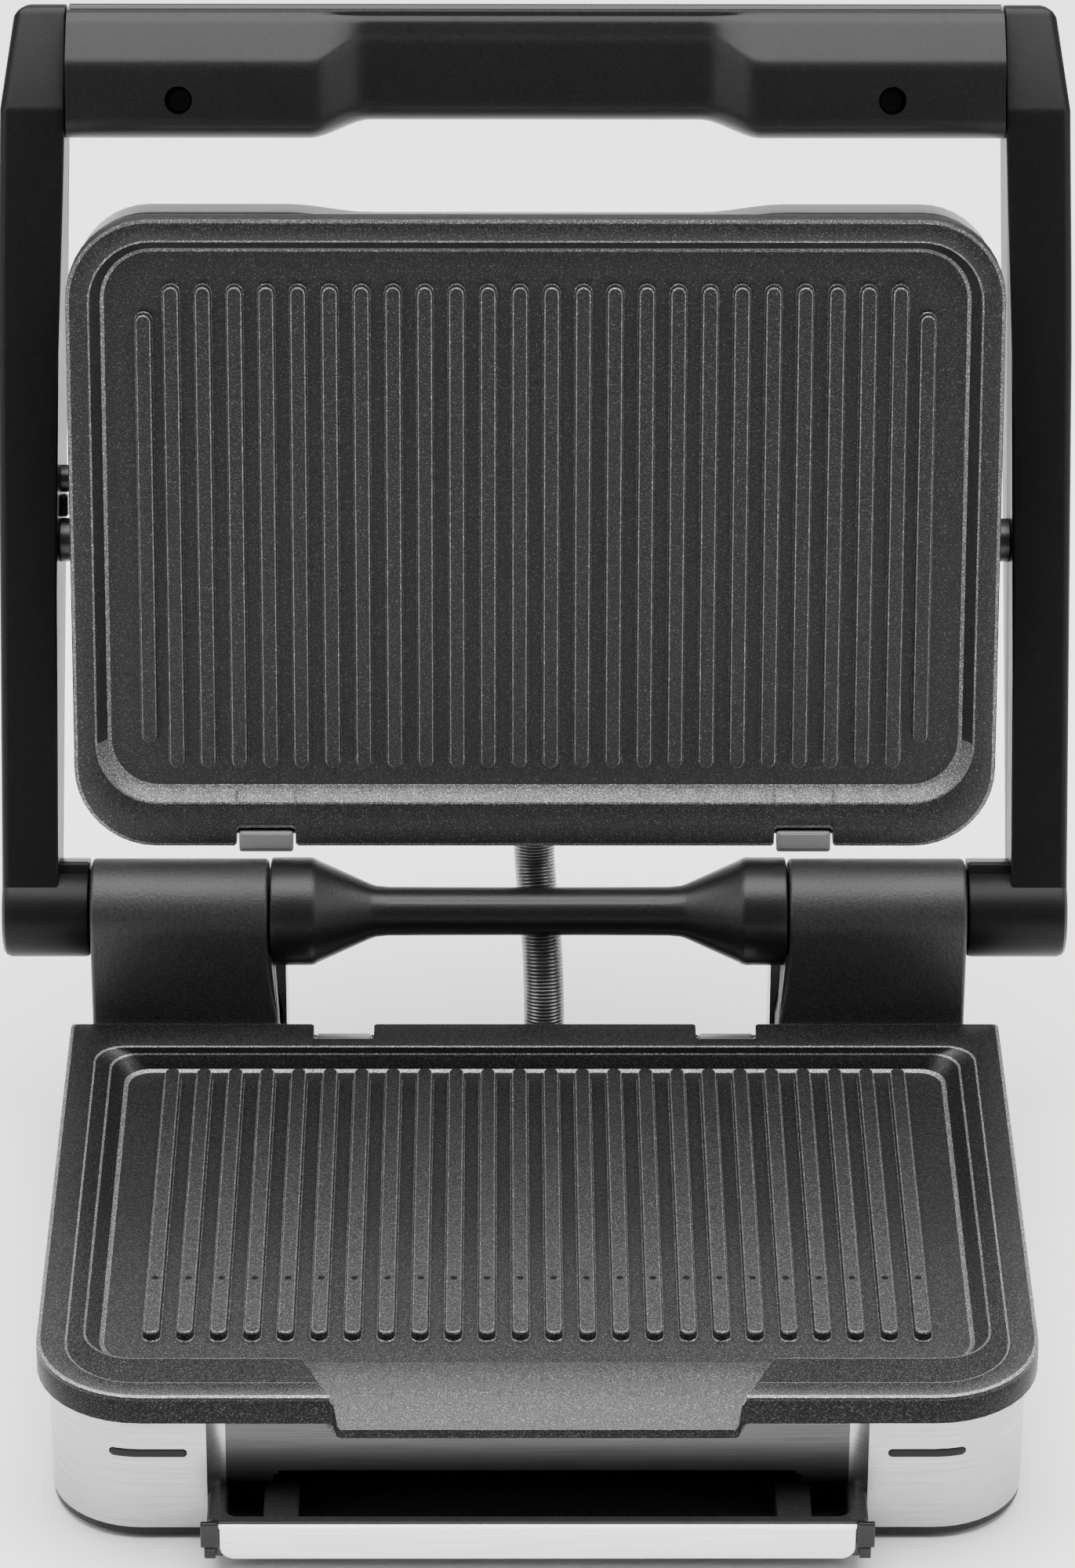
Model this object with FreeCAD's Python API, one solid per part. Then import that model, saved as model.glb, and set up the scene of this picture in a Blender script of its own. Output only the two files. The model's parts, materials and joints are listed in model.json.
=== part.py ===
import FreeCAD, Part
import math
import os

# Panini press (contact grill): base with a lower grill plate and drip tray, two hinge posts, a lid
# frame of two arms and a handle, and a floating upper housing with the upper grill plate.
# Millimetres. X to the right, Y to the back, Z up, Z = 0 is the table.
# The lid is drawn closed, with both plates level, and is then opened to its rest pose.

Vec = FreeCAD.Vector

# ---- driving dimensions -------------------------------------------------------------------------
RIM_Z = 54.5              # rim of the lower grill plate above the table
LOWER_W = 297.0           # lower grill plate, width
LOWER_D = 211.0           # lower grill plate, depth; its rear edge is the plane Y = 0
LOWER_CORNER = 32.0
PLATE_T = 10.0            # height of a plate's side wall
RIB_COUNT = 24
RIB_W = 5.0
RIB_H = 3.2
LOWER_RIB_PITCH = 10.0
UPPER_RIB_PITCH = 9.93

UPPER_W = 294.0
UPPER_D = 205.0
UPPER_CORNER = 26.0
PLATE_GAP = 2.0           # between the two rims when the lid is shut
UPPER_Z = RIM_Z + PLATE_GAP
UPPER_PLATE_T = 8.6
UPPER_TOP = UPPER_Z + UPPER_PLATE_T

POCKET = 7.4              # floor of the lower plate below its rim
UPPER_POCKET = 6.0
LOWER_FLOOR = RIM_Z - POCKET
SPOUT_FRONT = -215.0      # lip of the pouring spout
SPOUT_TOP = RIM_Z - 9.0
SPOUT_LOW = RIM_Z - 12.0

BASE_W = 290.0
BASE_FRONT = -205.5
BASE_REAR = 8.0
BASE_CORNER = 28.0
WALL = 1.2
TUB_Z = 2.0               # underside of the base tub
SHELL_Z = 4.4             # lower edge of the steel shell
SHELL_TOP = 44.0
BAY_HALF = 97.5           # half width of the front bay that the drip tray slides in
BAY_DEPTH = 4.0
OPENING_TOP = 17.9
MOUTH_HALF = 78.0
MOUTH_TOP = 22.0
REAR_TOP = 26.0           # housing between the posts
REAR_HALF = 79.8
SCREW_YS = (-187.0, -15.0)
LENS_X = 114.65
LENS_Z = 30.9
LENS_LONG = 22.7
LENS_HIGH = 2.6

HINGE_Y = 24.4            # lid hinge axis
HINGE_Z = RIM_Z + 27.0
SHAFT_R = 5.0
RUNNING = 0.05            # radial clearance of a running fit
CLEAR = 0.3               # gap between faces of parts that move past each other
POST_R = 17.0
POST_OUT = 142.0
POST_IN = 85.2
POST_IN_FOOT = 81.6
POST_REAR = 41.4
RIGHT_STEP = -4.0         # the right-hand post stands this much nearer the middle than the left

OPEN_ANGLE = 113.5        # arms, from level to the back stop
TILT = 11.7               # float of the upper housing about its pivot pins
PIVOT_S = 119.5           # hinge axis to pivot pins, along the arm
ARM_OUT = 170.5
ARM_IN = 152.2
ARM_BOSS_R = 14.6
HANDLE_END = 148.2        # half length of the handle bar
HANDLE_S = 289.6          # hinge axis to the front of the handle
PIVOT_Y = HINGE_Y - PIVOT_S
RECESS_HALF = 52.0        # finger recess in the handle, half width
BLEND = 19.0              # length of the curve from the recess to the handle's ends
HANDLE_SCREWS_X = (-112.6, 112.6)

LID_W = 290.0
LID_D = 202.0
LID_CORNER = 24.0
LID_TOP = 92.0
LID_EDGE = 12.0
LID_Z = UPPER_TOP + CLEAR
LID_REAR = -1.5
LID_FRONT = LID_REAR - LID_D

CONDUIT_R = 5.7
CONDUIT_X = 3.2           # where the conduit leaves the rear housing
CONDUIT_Y = 31.0
CONDUIT_LID_Z = 78.0      # where it enters the upper housing, drawn level
MAINS_X = 45.0
MAINS_Z = 15.0

TRAY_OUT = 16.5           # how far the drip tray stands out of the base at rest
TRAY_Z = 4.6
TRAY_H = 12.9
TRAY_DEPTH = 112.0
TRAY_HALF = 97.1
TRAY_FRONT = BASE_FRONT - TRAY_OUT

LOWER_LATCH_X = 61.0
UPPER_LATCH_X = 86.0
LATCH_W = 17.4
NOTCH_W = 20.0


# ---- small helpers ------------------------------------------------------------------------------
def box(x0, x1, y0, y1, z0, z1):
    return Part.makeBox(x1 - x0, y1 - y0, z1 - z0, Vec(x0, y0, z0))


def cyl(radius, start, axis, length):
    return Part.makeCylinder(radius, length, Vec(*start), Vec(*axis))


def face_of(points):
    wire = Part.makePolygon([Vec(*p) for p in points] + [Vec(*points[0])])
    return Part.Face(wire)


def prism_x(points_yz, x0, x1):
    face = face_of([(x0, y, z) for y, z in points_yz])
    return face.extrude(Vec(x1 - x0, 0, 0))


def prism_y(points_xz, y0, y1):
    face = face_of([(x, y0, z) for x, z in points_xz])
    return face.extrude(Vec(0, y1 - y0, 0))


def prism_z(points_xy, z0, z1):
    face = face_of([(x, y, z0) for x, y in points_xy])
    return face.extrude(Vec(0, 0, z1 - z0))


def fillet_where(shape, radius, wanted):
    """Round the edges that the test picks out."""
    edges = [edge for edge in shape.Edges if wanted(edge)]
    return shape.makeFillet(radius, edges)


def upright(edge):
    box_of = edge.BoundBox
    return box_of.ZLength > 0.5 and box_of.XLength < 0.01 and box_of.YLength < 0.01


def rounded_block(width, y0, y1, z0, z1, front_r, rear_r):
    """A block centred on X = 0 whose upright front and rear edges have their own radii."""
    block = box(-width / 2, width / 2, y0, y1, z0, z1)
    middle = (y0 + y1) / 2
    block = fillet_where(block, front_r, lambda e: upright(e) and e.BoundBox.YMin < middle)
    return fillet_where(block, rear_r, lambda e: upright(e) and e.BoundBox.YMin > middle)


def mirror_x(shape):
    return shape.mirror(Vec(0, 0, 0), Vec(1, 0, 0))


def stepped(shape):
    """Moved to where the right-hand post stands."""
    return shape.translated(Vec(RIGHT_STEP, 0, 0))


def both_sides(shape):
    return Part.makeCompound([shape, mirror_x(shape)])


def turned(shape, y, z, degrees):
    """Turn about an axis along X: positive lifts the front of the lid."""
    copy = shape.copy()
    copy.rotate(Vec(0, y, z), Vec(-1, 0, 0), degrees)
    return copy


def open_frame(shape):
    return turned(shape, HINGE_Y, HINGE_Z, OPEN_ANGLE)


def open_housing(shape):
    """The housing opens with the frame, and nods forward onto its stop."""
    return open_frame(turned(shape, PIVOT_Y, HINGE_Z, -TILT))


def arc_path(points):
    """Straight runs joined by tangent arcs. Prints each radius; returns the wire."""
    corners = [Vec(*p) for p in points]
    edges = []
    start = corners[0]
    for before, corner, after in zip(corners, corners[1:], corners[2:]):
        run_in = corner - before
        run_out = after - corner
        turn = run_in.getAngle(run_out)
        shorter = min(run_in.Length, run_out.Length)
        radius = 0.45 * shorter / math.tan(turn / 2)
        setback = 0.45 * shorter
        toward = Vec(run_in).normalize()
        away = Vec(run_out).normalize()
        first = corner - toward * setback
        last = corner + away * setback
        inward = (away - toward).normalize()
        centre = corner + inward * (radius / math.cos(turn / 2))
        middle = centre - inward * radius
        edges.append(Part.LineSegment(start, first).toShape())
        edges.append(Part.Arc(first, middle, last).toShape())
        start = last
        print("arc radius", round(radius, 1), "turn", round(math.degrees(turn)))
    edges.append(Part.LineSegment(start, corners[-1]).toShape())
    return Part.Wire(edges)


def tube(points, radius):
    path = arc_path(points)
    start = Vec(*points[0])
    toward = Vec(*points[1]) - start
    section = Part.Wire([Part.makeCircle(radius, start, toward)])
    solid = path.makePipeShell([section], True, True)
    print("tube volume ratio", round(solid.Volume / (math.pi * radius ** 2 * path.Length), 4))
    return solid


def pan_head_screw(x, y, z, axis, length):
    """A pan-head screw whose head starts at the point and whose shank runs along the axis."""
    head = cyl(3.4, (x, y, z), axis, 2.0)
    shank_at = Vec(x, y, z) + Vec(*axis) * 2.0
    shank = Part.makeCylinder(1.7, length, shank_at, Vec(*axis))
    return head.fuse(shank)


# ---- grill plates -------------------------------------------------------------------------------
def rib(x, y0, y1, floor, height, up):
    """One grilling rib with round ends, standing on the plate's floor."""
    low, high = sorted((floor, floor + up * height))
    bar = box(x - RIB_W / 2, x + RIB_W / 2, y0 + RIB_W / 2, y1 - RIB_W / 2, low, high)
    for end in (y0 + RIB_W / 2, y1 - RIB_W / 2):
        bar = bar.fuse(cyl(RIB_W / 2, (x, end, low), (0, 0, 1), high - low))
    return bar.removeSplitter()


def pocket_tool(*levels):
    """Cutter through rounded rectangles, each given as (half width, front, rear, radius, z)."""
    sections = []
    for half, front, rear, radius, z in levels:
        block = rounded_block(2 * half, front, rear, z, z + 1, radius, radius)
        wire = next(f for f in block.Faces if f.normalAt(0, 0).z < -0.9).OuterWire
        sections.append(wire)
    return Part.makeLoft(sections, True, True)


def latch_notch(x, depth, ledge, z_low, z_high, ledge_low, ledge_high):
    """Notch for a latch, with a ledge left at its inner end for the latch's nose."""
    through = box(x - NOTCH_W / 2, x + NOTCH_W / 2, -ledge, 1, z_low, z_high)
    rebate = box(x - NOTCH_W / 2, x + NOTCH_W / 2, -depth, 1, ledge_low, ledge_high)
    return through.fuse(rebate)


def lower_grill_plate():
    bottom = RIM_Z - PLATE_T
    plate = rounded_block(LOWER_W, -LOWER_D, 0, bottom, RIM_Z, LOWER_CORNER, 1.0)
    pocket = pocket_tool((139.5, -203.0, -14.8, 10, RIM_Z + 0.01), (134.5, -186.5, -15.2, 9, RIM_Z - 2.4),
                         (130.0, -182.0, -16.6, 8, LOWER_FLOOR))
    plate = plate.cut(pocket)
    spout = prism_x([(-190, bottom), (-190, LOWER_FLOOR), (SPOUT_FRONT, SPOUT_TOP),
                     (SPOUT_FRONT, SPOUT_LOW), (-206.2, SPOUT_LOW), (-206.2, bottom)], -60, 60)
    sides = prism_z([(-71, -170), (71, -170), (57.5, -216), (-57.5, -216)], SPOUT_LOW - 1, RIM_Z + 1)
    channel = prism_x([(-176, LOWER_FLOOR), (-176, RIM_Z + 1), (-216, RIM_Z + 1),
                       (-216, SPOUT_TOP), (-190, LOWER_FLOOR)], -80, 80).common(sides)
    plate = plate.cut(channel).fuse(spout.common(sides).cut(channel))
    for x in (-LOWER_LATCH_X, LOWER_LATCH_X):
        plate = plate.cut(latch_notch(x, 9.0, 8.3, bottom - 1, RIM_Z + 1, RIM_Z - 7.6, RIM_Z + 1))
    for number in range(RIB_COUNT):
        x = (number - (RIB_COUNT - 1) / 2) * LOWER_RIB_PITCH
        plate = plate.fuse(rib(x, -171.0, -20.5, LOWER_FLOOR - 0.5, RIB_H + 0.5, 1))
    return plate.removeSplitter()


def upper_grill_plate():
    floor = UPPER_Z + UPPER_POCKET
    plate = rounded_block(UPPER_W, -UPPER_D, 0, UPPER_Z, UPPER_TOP, UPPER_CORNER, UPPER_CORNER)
    front = 6.8 - UPPER_D
    pocket = pocket_tool((139.8, front, -14.4, 20, UPPER_Z - 0.01), (137.0, front + 3.4, -16.8, 17, floor))
    plate = plate.cut(pocket)
    for x in (-UPPER_LATCH_X, UPPER_LATCH_X):
        plate = plate.cut(latch_notch(x, 6.0, 5.5, UPPER_Z - 1, UPPER_TOP + 1, UPPER_Z - 1, UPPER_Z + 3.6))
    for number in range(RIB_COUNT):
        x = (number - (RIB_COUNT - 1) / 2) * UPPER_RIB_PITCH
        plate = plate.fuse(rib(x, -183.0, -25.2, floor + 0.5, RIB_H + 0.5, -1))
    for x in (-122.9, 122.9):
        plate = plate.fuse(rib(x, -174.0, -33.6, floor + 0.5, RIB_H + 0.5, -1))
    return plate.removeSplitter()


# ---- plate latches ------------------------------------------------------------------------------
def lower_latch(x):
    nose = box(x - LATCH_W / 2, x + LATCH_W / 2, -8.0, -1.6, RIM_Z - 7.3, RIM_Z - 3.0)
    nose = fillet_where(nose, 1.0, lambda e: e.BoundBox.XLength > 10 and e.BoundBox.ZMin > RIM_Z - 4)
    stem = box(x - 6, x + 6, -4.6, -1.6, 38.6, RIM_Z - 7.3)
    foot = box(x - 6, x + 6, -8.6, -1.6, 36.4, 38.6)
    return nose.fuse(stem).fuse(foot).removeSplitter()


def upper_latch(x):
    nose = box(x - LATCH_W / 2, x + LATCH_W / 2, -5.2, 1.8, UPPER_Z - 0.2, UPPER_Z + 3.3)
    nose = fillet_where(nose, 1.2, lambda e: upright(e) and e.BoundBox.YMin < 0)
    stem = box(x - 6, x + 6, -2.2, 1.8, UPPER_Z + 3.3, UPPER_TOP + 4.6)
    foot = box(x - 6, x + 6, -8.6, 1.8, UPPER_TOP + 4.6, UPPER_TOP + 6.6)
    return nose.fuse(stem).fuse(foot).removeSplitter()


def latch_spring(x, z):
    """Small compression spring that pushes a latch towards the plate, as a plain sleeve."""
    sleeve = cyl(1.5, (x, -1.4, z), (0, 1, 0), 6.0)
    return sleeve.cut(cyl(0.9, (x, -1.5, z), (0, 1, 0), 6.2))


# ---- base ---------------------------------------------------------------------------------------
def base_plan(z0, z1, inset):
    """The base's outline as a block, with the front bay cut in, drawn inwards by inset."""
    block = rounded_block(BASE_W - 2 * inset, BASE_FRONT + inset, BASE_REAR - inset, z0, z1,
                          BASE_CORNER - inset, 3.0)
    half = BAY_HALF + inset
    back = BASE_FRONT + BAY_DEPTH + inset
    bay = prism_z([(-half, BASE_FRONT - 5), (half, BASE_FRONT - 5), (half, BASE_FRONT + inset),
                   (half - 5.5, back), (5.5 - half, back), (-half, BASE_FRONT + inset)], z0 - 1, z1 + 1)
    return block.cut(bay)


def tray_way():
    """The space that the drip tray slides through."""
    wide = box(-BAY_HALF, BAY_HALF, BASE_FRONT - 5, -88, TUB_Z + 2.3, OPENING_TOP)
    mouth = box(-MOUTH_HALF, MOUTH_HALF, BASE_FRONT - 5, -190, OPENING_TOP - 1, MOUTH_TOP)
    mouth = fillet_where(mouth, 3.5, lambda e: e.BoundBox.YLength > 10 and e.BoundBox.ZMin > OPENING_TOP)
    return wide.fuse(mouth)


def base_tub():
    plan = base_plan(TUB_Z, SHELL_TOP - 2, WALL + 0.1)
    skirt = base_plan(TUB_Z, SHELL_Z - 0.1, 0.3)
    hollow = base_plan(TUB_Z + 2.2, SHELL_TOP, WALL + 2.3)
    tub = plan.cut(hollow).fuse(skirt)
    tub = tub.cut(tray_way())
    tub = tub.fuse(box(-POST_OUT, POST_OUT, BASE_REAR - 2, POST_REAR, TUB_Z, TUB_Z + 2.2))
    for sign in (-1, 1):
        for y in SCREW_YS:
            tub = tub.fuse(cyl(6, (sign * 118, y, TUB_Z), (0, 0, 1), 38))
            tub = tub.cut(cyl(1.75, (sign * 118, y, TUB_Z - 1), (0, 0, 1), 30))
            tub = tub.cut(cyl(3.6, (sign * 118, y, TUB_Z - 1), (0, 0, 1), 3.2))
        x = sign * LENS_X
        tub = tub.cut(box(x - 14, x + 14, BASE_FRONT, BASE_FRONT + 18, LENS_Z - 4, LENS_Z + 4))
    for x in (-LOWER_LATCH_X, LOWER_LATCH_X):
        tub = tub.cut(box(x - 7, x + 7, -10, 7, 35, SHELL_TOP))
    tub = tub.cut(box(-30, 30, 0, 20, 10, 22))
    return tub.removeSplitter()


def rear_housing():
    """Low box between the posts that holds the wiring and its two cable exits."""
    y0, y1 = BASE_REAR + 0.1, POST_REAR
    right = REAR_HALF + RIGHT_STEP
    cover = box(-REAR_HALF, right, y0, y1, TUB_Z + 2.3, REAR_TOP)
    cover = fillet_where(cover, 3.0, lambda e: e.BoundBox.XLength > 50 and e.BoundBox.ZMin > REAR_TOP - 1)
    inside = box(2 - REAR_HALF, right - 2, y0 + 2, y1 - 2, TUB_Z, REAR_TOP - 2)
    cover = cover.cut(inside).cut(box(-30, 30, y0 - 1, y0 + 3, 10, 22))
    cover = cover.cut(cyl(7.5, (MAINS_X, y1 - 5, MAINS_Z), (0, 1, 0), 10))
    return cover.cut(cyl(CONDUIT_R + 1.7, (CONDUIT_X, CONDUIT_Y, REAR_TOP - 5), (0, 0, 1), 10))


def base_shell():
    shell = base_plan(SHELL_Z, SHELL_TOP, 0).cut(base_plan(SHELL_Z - 1, SHELL_TOP + 1, WALL))
    shell = shell.cut(box(-138, 138, 0, 20, 0, 60))
    shell = shell.cut(tray_way())
    for side in (-1, 1):
        shell = shell.cut(lens_block(side, 0.0, 6.0))
    return shell


def lens_block(side, shrink, depth):
    """A slot with round ends in the front of the base."""
    half = LENS_LONG / 2 - LENS_HIGH / 2
    radius = LENS_HIGH / 2 - shrink
    x = side * LENS_X
    slot = box(x - half, x + half, BASE_FRONT - 0.2, BASE_FRONT + depth, LENS_Z - radius, LENS_Z + radius)
    for end in (x - half, x + half):
        slot = slot.fuse(cyl(radius, (end, BASE_FRONT - 0.2, LENS_Z), (0, 1, 0), depth + 0.2))
    return slot.removeSplitter()


def indicator_lens(side):
    """Smoked lens that fills the slot and follows the corner, with a flange behind the sheet."""
    x = side * LENS_X
    lens = lens_block(side, 0.1, 9.0).common(base_plan(20, 40, 0.1))
    flange = box(x - 12, x + 12, BASE_FRONT, BASE_FRONT + 12, LENS_Z - 3, LENS_Z + 3)
    flange = flange.common(base_plan(20, 40, WALL + 0.05))
    return lens.fuse(flange).cut(base_plan(10, 50, WALL + 1.5)).removeSplitter()


def indicator_lamps():
    lamps = []
    for side in (-1, 1):
        x = side * LENS_X
        lamps.append(cyl(2.4, (x, BASE_FRONT + 7, LENS_Z), (0, 1, 0), 9))
    return Part.makeCompound(lamps)


def plate_carrier():
    top = RIM_Z - PLATE_T - CLEAR
    deck = base_plan(SHELL_TOP - 1.9, top, WALL + 0.4)
    deck = deck.cut(box(-124, 124, -180, -24, 0, 60))
    deck = deck.cut(box(-70, 70, -220, -198, 0, 60))
    for x in (-LOWER_LATCH_X, LOWER_LATCH_X):
        deck = deck.cut(box(x - 6.6, x + 6.6, -9.2, 2.6, 30, 60))
    for sign in (-1, 1):
        for y in SCREW_YS:
            boss = cyl(5, (sign * 118, y, TUB_Z + 38.1), (0, 0, 1), 3)
            deck = deck.fuse(boss.cut(box(-200, 200, -300, 100, top, 60)))
            deck = deck.cut(cyl(1.5, (sign * 118, y, 30), (0, 0, 1), 12))
    return deck.removeSplitter()


def reflector(z_top, z_bottom, y0, y1, width):
    """A thin dish with a flange that hangs under or over its frame."""
    low, high = sorted((z_top, z_bottom))
    dish = rounded_block(width, y0, y1, low, high, 14, 14)
    inner_low = low + 1.0 if z_top > z_bottom else low - 1
    inner_high = high + 1 if z_top > z_bottom else high - 1.0
    return dish.cut(rounded_block(width - 2, y0 + 1, y1 - 1, inner_low, inner_high, 13, 13))


def heating_element(z, y_front, y_rear, half, radius):
    """A tubular element bent into a loop, with both cold ends turned to the back."""
    points = [(-24, y_rear + 6, z), (-24, y_rear - 22, z), (-half, y_rear - 16, z),
              (-half, y_front, z), (-24, y_front, z), (24, y_front + 1, z), (half, y_front, z),
              (half, y_rear - 16, z), (24, y_rear - 22, z), (24, y_rear + 6, z)]
    return tube(points, radius)


def thermostat(z, x):
    body = cyl(8, (x, -100, z), (0, 0, 1), 7)
    ear = box(x - 12, x + 12, -103.5, -96.5, z, z + 1.4)
    return body.fuse(ear).removeSplitter()


def thermal_fuse(z, x):
    body = cyl(2, (x, -128, z), (0, 1, 0), 11)
    lead = cyl(0.6, (x, -140, z), (0, 1, 0), 36)
    return body.fuse(lead).removeSplitter()


def terminal_block():
    body = box(-52, -26, 14, 30, TUB_Z + 2.3, TUB_Z + 13)
    for x in (-46, -39, -32):
        body = body.cut(cyl(1.8, (x, 22, TUB_Z + 8), (0, 0, 1), 10))
    return body


def tray_rails():
    rail = box(BAY_HALF + 0.5, BAY_HALF + 4.5, -194, -92, TUB_Z + 2.3, 21.5)
    lip = box(BAY_HALF - 3.5, BAY_HALF + 4.5, -194, -92, OPENING_TOP + 0.2, 21.5)
    return both_sides(rail.fuse(lip).removeSplitter())


def feet():
    shapes = []
    for x in (-118, 118):
        for y in (-168, 26):
            foot = cyl(8, (x, y, 0), (0, 0, 1), TUB_Z)
            shapes.append(fillet_where(foot, 0.6, lambda e: e.BoundBox.ZMax < 0.1 and e.Closed))
    return Part.makeCompound(shapes)


def base_screws():
    return Part.makeCompound([pan_head_screw(x, y, TUB_Z + 0.1, (0, 0, 1), 24)
                              for x in (-118, 118) for y in SCREW_YS])


def mains_gland():
    """Grommet in the rear housing's back wall, where the mains lead goes in."""
    body = cyl(7.4, (MAINS_X, POST_REAR - 4.2, MAINS_Z), (0, 1, 0), 9)
    collar = cyl(9.6, (MAINS_X, POST_REAR + 0.05, MAINS_Z), (0, 1, 0), 2.2)
    return body.fuse(collar).cut(cyl(3.6, (MAINS_X, 0, MAINS_Z), (0, 1, 0), 80)).removeSplitter()


def conduit_gland():
    """Grommet in the rear housing's top, where the conduit to the lid comes out."""
    body = cyl(CONDUIT_R + 1.6, (CONDUIT_X, CONDUIT_Y, REAR_TOP - 3.8), (0, 0, 1), 6.0)
    collar = cyl(CONDUIT_R + 3.7, (CONDUIT_X, CONDUIT_Y, REAR_TOP + 0.05), (0, 0, 1), 2.4)
    bore = cyl(CONDUIT_R + 0.02, (CONDUIT_X, CONDUIT_Y, 0), (0, 0, 1), 80)
    return body.fuse(collar).cut(bore).removeSplitter()


# ---- hinge posts --------------------------------------------------------------------------------
def hinge_post():
    """Right-hand post: a column with a round head on the hinge axis and a slanted inner side."""
    x0, x1 = POST_IN_FOOT, POST_OUT
    side = box(x0, x1, HINGE_Y - POST_R, POST_REAR, TUB_Z + 2.3, HINGE_Z)
    side = side.fuse(cyl(POST_R, (x0, HINGE_Y, HINGE_Z), (1, 0, 0), x1 - x0))
    slope = 6.8
    foot = box(x0, x1, HINGE_Y - POST_R - slope, HINGE_Y - POST_R + 1, 44.6, 44.6 + slope)
    scoop = cyl(slope, (x0 - 1, HINGE_Y - POST_R - slope, 44.6 + slope), (1, 0, 0), x1 - x0 + 2)
    column = side.fuse(foot.cut(scoop))
    column = column.cut(box(x0 - 1, x1 + 1, -10, BASE_REAR + 0.1, 0, 44.3))
    outline = prism_y([(POST_IN, HINGE_Z + 20), (POST_IN, HINGE_Z - 14), (x0, 44.0), (x0, 0),
                       (x1, 0), (x1, HINGE_Z + 20)], -20, 60)
    column = column.common(outline)
    bore = cyl(8.0, (POST_IN - 5, HINGE_Y, HINGE_Z), (1, 0, 0), 70)
    cavity = box(POST_IN + 4, POST_OUT - 4, HINGE_Y - POST_R + 6, POST_REAR + 1, 16, HINGE_Z - 14)
    return column.cut(bore).cut(cavity).removeSplitter()


def post_cover():
    """Steel cover on the back and inner side of the right-hand post."""
    x0 = POST_IN_FOOT - 1.4
    low = TUB_Z + 2.4
    top = HINGE_Z - 18.4
    back = box(POST_IN + 0.2, POST_OUT, POST_REAR + 0.1, POST_REAR + 1.3, low, HINGE_Z - 2)
    inner = prism_y([(x0, low), (POST_IN_FOOT - 0.2, low), (POST_IN_FOOT - 0.2, 44.0), (POST_IN - 1.0, top),
                     (x0, top)], HINGE_Y - 1, POST_REAR + 1.3)
    corner = box(x0, POST_IN + 0.3, POST_REAR + 0.1, POST_REAR + 1.3, low, top)
    return back.fuse(inner).fuse(corner).removeSplitter()


def hinge_bushes():
    bush = cyl(7.95, (POST_IN + 0.3, HINGE_Y, HINGE_Z), (1, 0, 0), POST_OUT - POST_IN - 0.6)
    bush = bush.cut(cyl(SHAFT_R + RUNNING, (0, HINGE_Y, HINGE_Z), (1, 0, 0), 200))
    return Part.makeCompound([stepped(bush), mirror_x(bush)])


# ---- lid frame (drawn closed: s runs forward from the hinge, h is height about the hinge) ---------
def yz(s, h):
    return (HINGE_Y - s, HINGE_Z + h)


def arm(post_out):
    """Right-hand arm: hinge boss, straight bar and a front end that slopes up underneath."""
    side = [yz(0, -11.5), yz(256, -12.5), yz(288.5, -3.0), yz(289.6, 0), yz(289.6, 9),
            yz(286, 14), yz(40, 14), yz(0, 12.5)]
    bar = prism_x(side, ARM_IN, ARM_OUT)
    bar = fillet_where(bar, 3.0, lambda e: e.BoundBox.YLength > 150 and e.BoundBox.XMin > ARM_OUT - 0.1)
    plan = prism_z([(ARM_IN - 5, 60), (ARM_OUT, 60), (ARM_OUT, HINGE_Y - 190), (167.8, HINGE_Y - 286),
                    (164.5, HINGE_Y - 289.6), (HANDLE_END + 0.3, HINGE_Y - 289.6),
                    (HANDLE_END + 0.3, HINGE_Y - 246), (ARM_IN, HINGE_Y - 170), (ARM_IN, 0)], 0, 140)
    wedge = prism_x([yz(170, -11), yz(288.6, -2.5), yz(288.6, 9), yz(284, 12), yz(170, 12)],
                    HANDLE_END + 0.3, ARM_IN + 1)
    bar = bar.fuse(wedge).common(plan)
    boss = cyl(ARM_BOSS_R, (post_out + 0.4, HINGE_Y, HINGE_Z), (1, 0, 0), ARM_OUT - post_out - 0.4)
    boss = fillet_where(boss, 2.5, lambda e: e.Closed and e.BoundBox.XMin > ARM_OUT - 0.1)
    y_near, z_low = yz(16.6, -7)
    neck = box(post_out + 0.7, ARM_IN + 1, y_near, HINGE_Y - 8, z_low, HINGE_Z + 7)
    shape = bar.fuse(boss).fuse(neck)
    shape = shape.cut(cyl(SHAFT_R, (post_out, HINGE_Y, HINGE_Z), (1, 0, 0), ARM_IN + 12 - post_out))
    shape = shape.cut(cyl(4.0 + RUNNING, (ARM_IN - 5, PIVOT_Y, HINGE_Z), (1, 0, 0), 16))
    return shape.removeSplitter()


def stop_lug():
    """Chamfered lug on the inner side of the left arm, beside the pivot."""
    y0, z0 = yz(134, -4)
    lug = box(-ARM_IN, -ARM_IN + 3.4, y0, y0 + 7, z0, z0 + 10)
    return lug.makeChamfer(1.5, [e for e in lug.Edges if e.BoundBox.XMin > -ARM_IN + 3])


def handle_section(x, cut):
    """Outline of the handle's lower cover at X; cut is 0 at the ends and 1 in the finger recess."""
    rear = 247.0 + 6.0 * cut
    lift = 9.0 * cut
    nose = 271.0 + 7.0 * cut
    low = -17.0 + lift
    points = [(rear, 5.0), (rear, -4.0 + lift), (nose - 3.5, low + 1.2), (nose + 2.0, low),
              (nose + 6.5, low + 2.2), (286.0, -9.0 + 2.0 * cut), (287.6, -6.5), (287.6, 5.0)]
    corners = [Vec(x, *yz(s, h)) for s, h in points]
    return Part.makePolygon(corners + [corners[0]])


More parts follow.
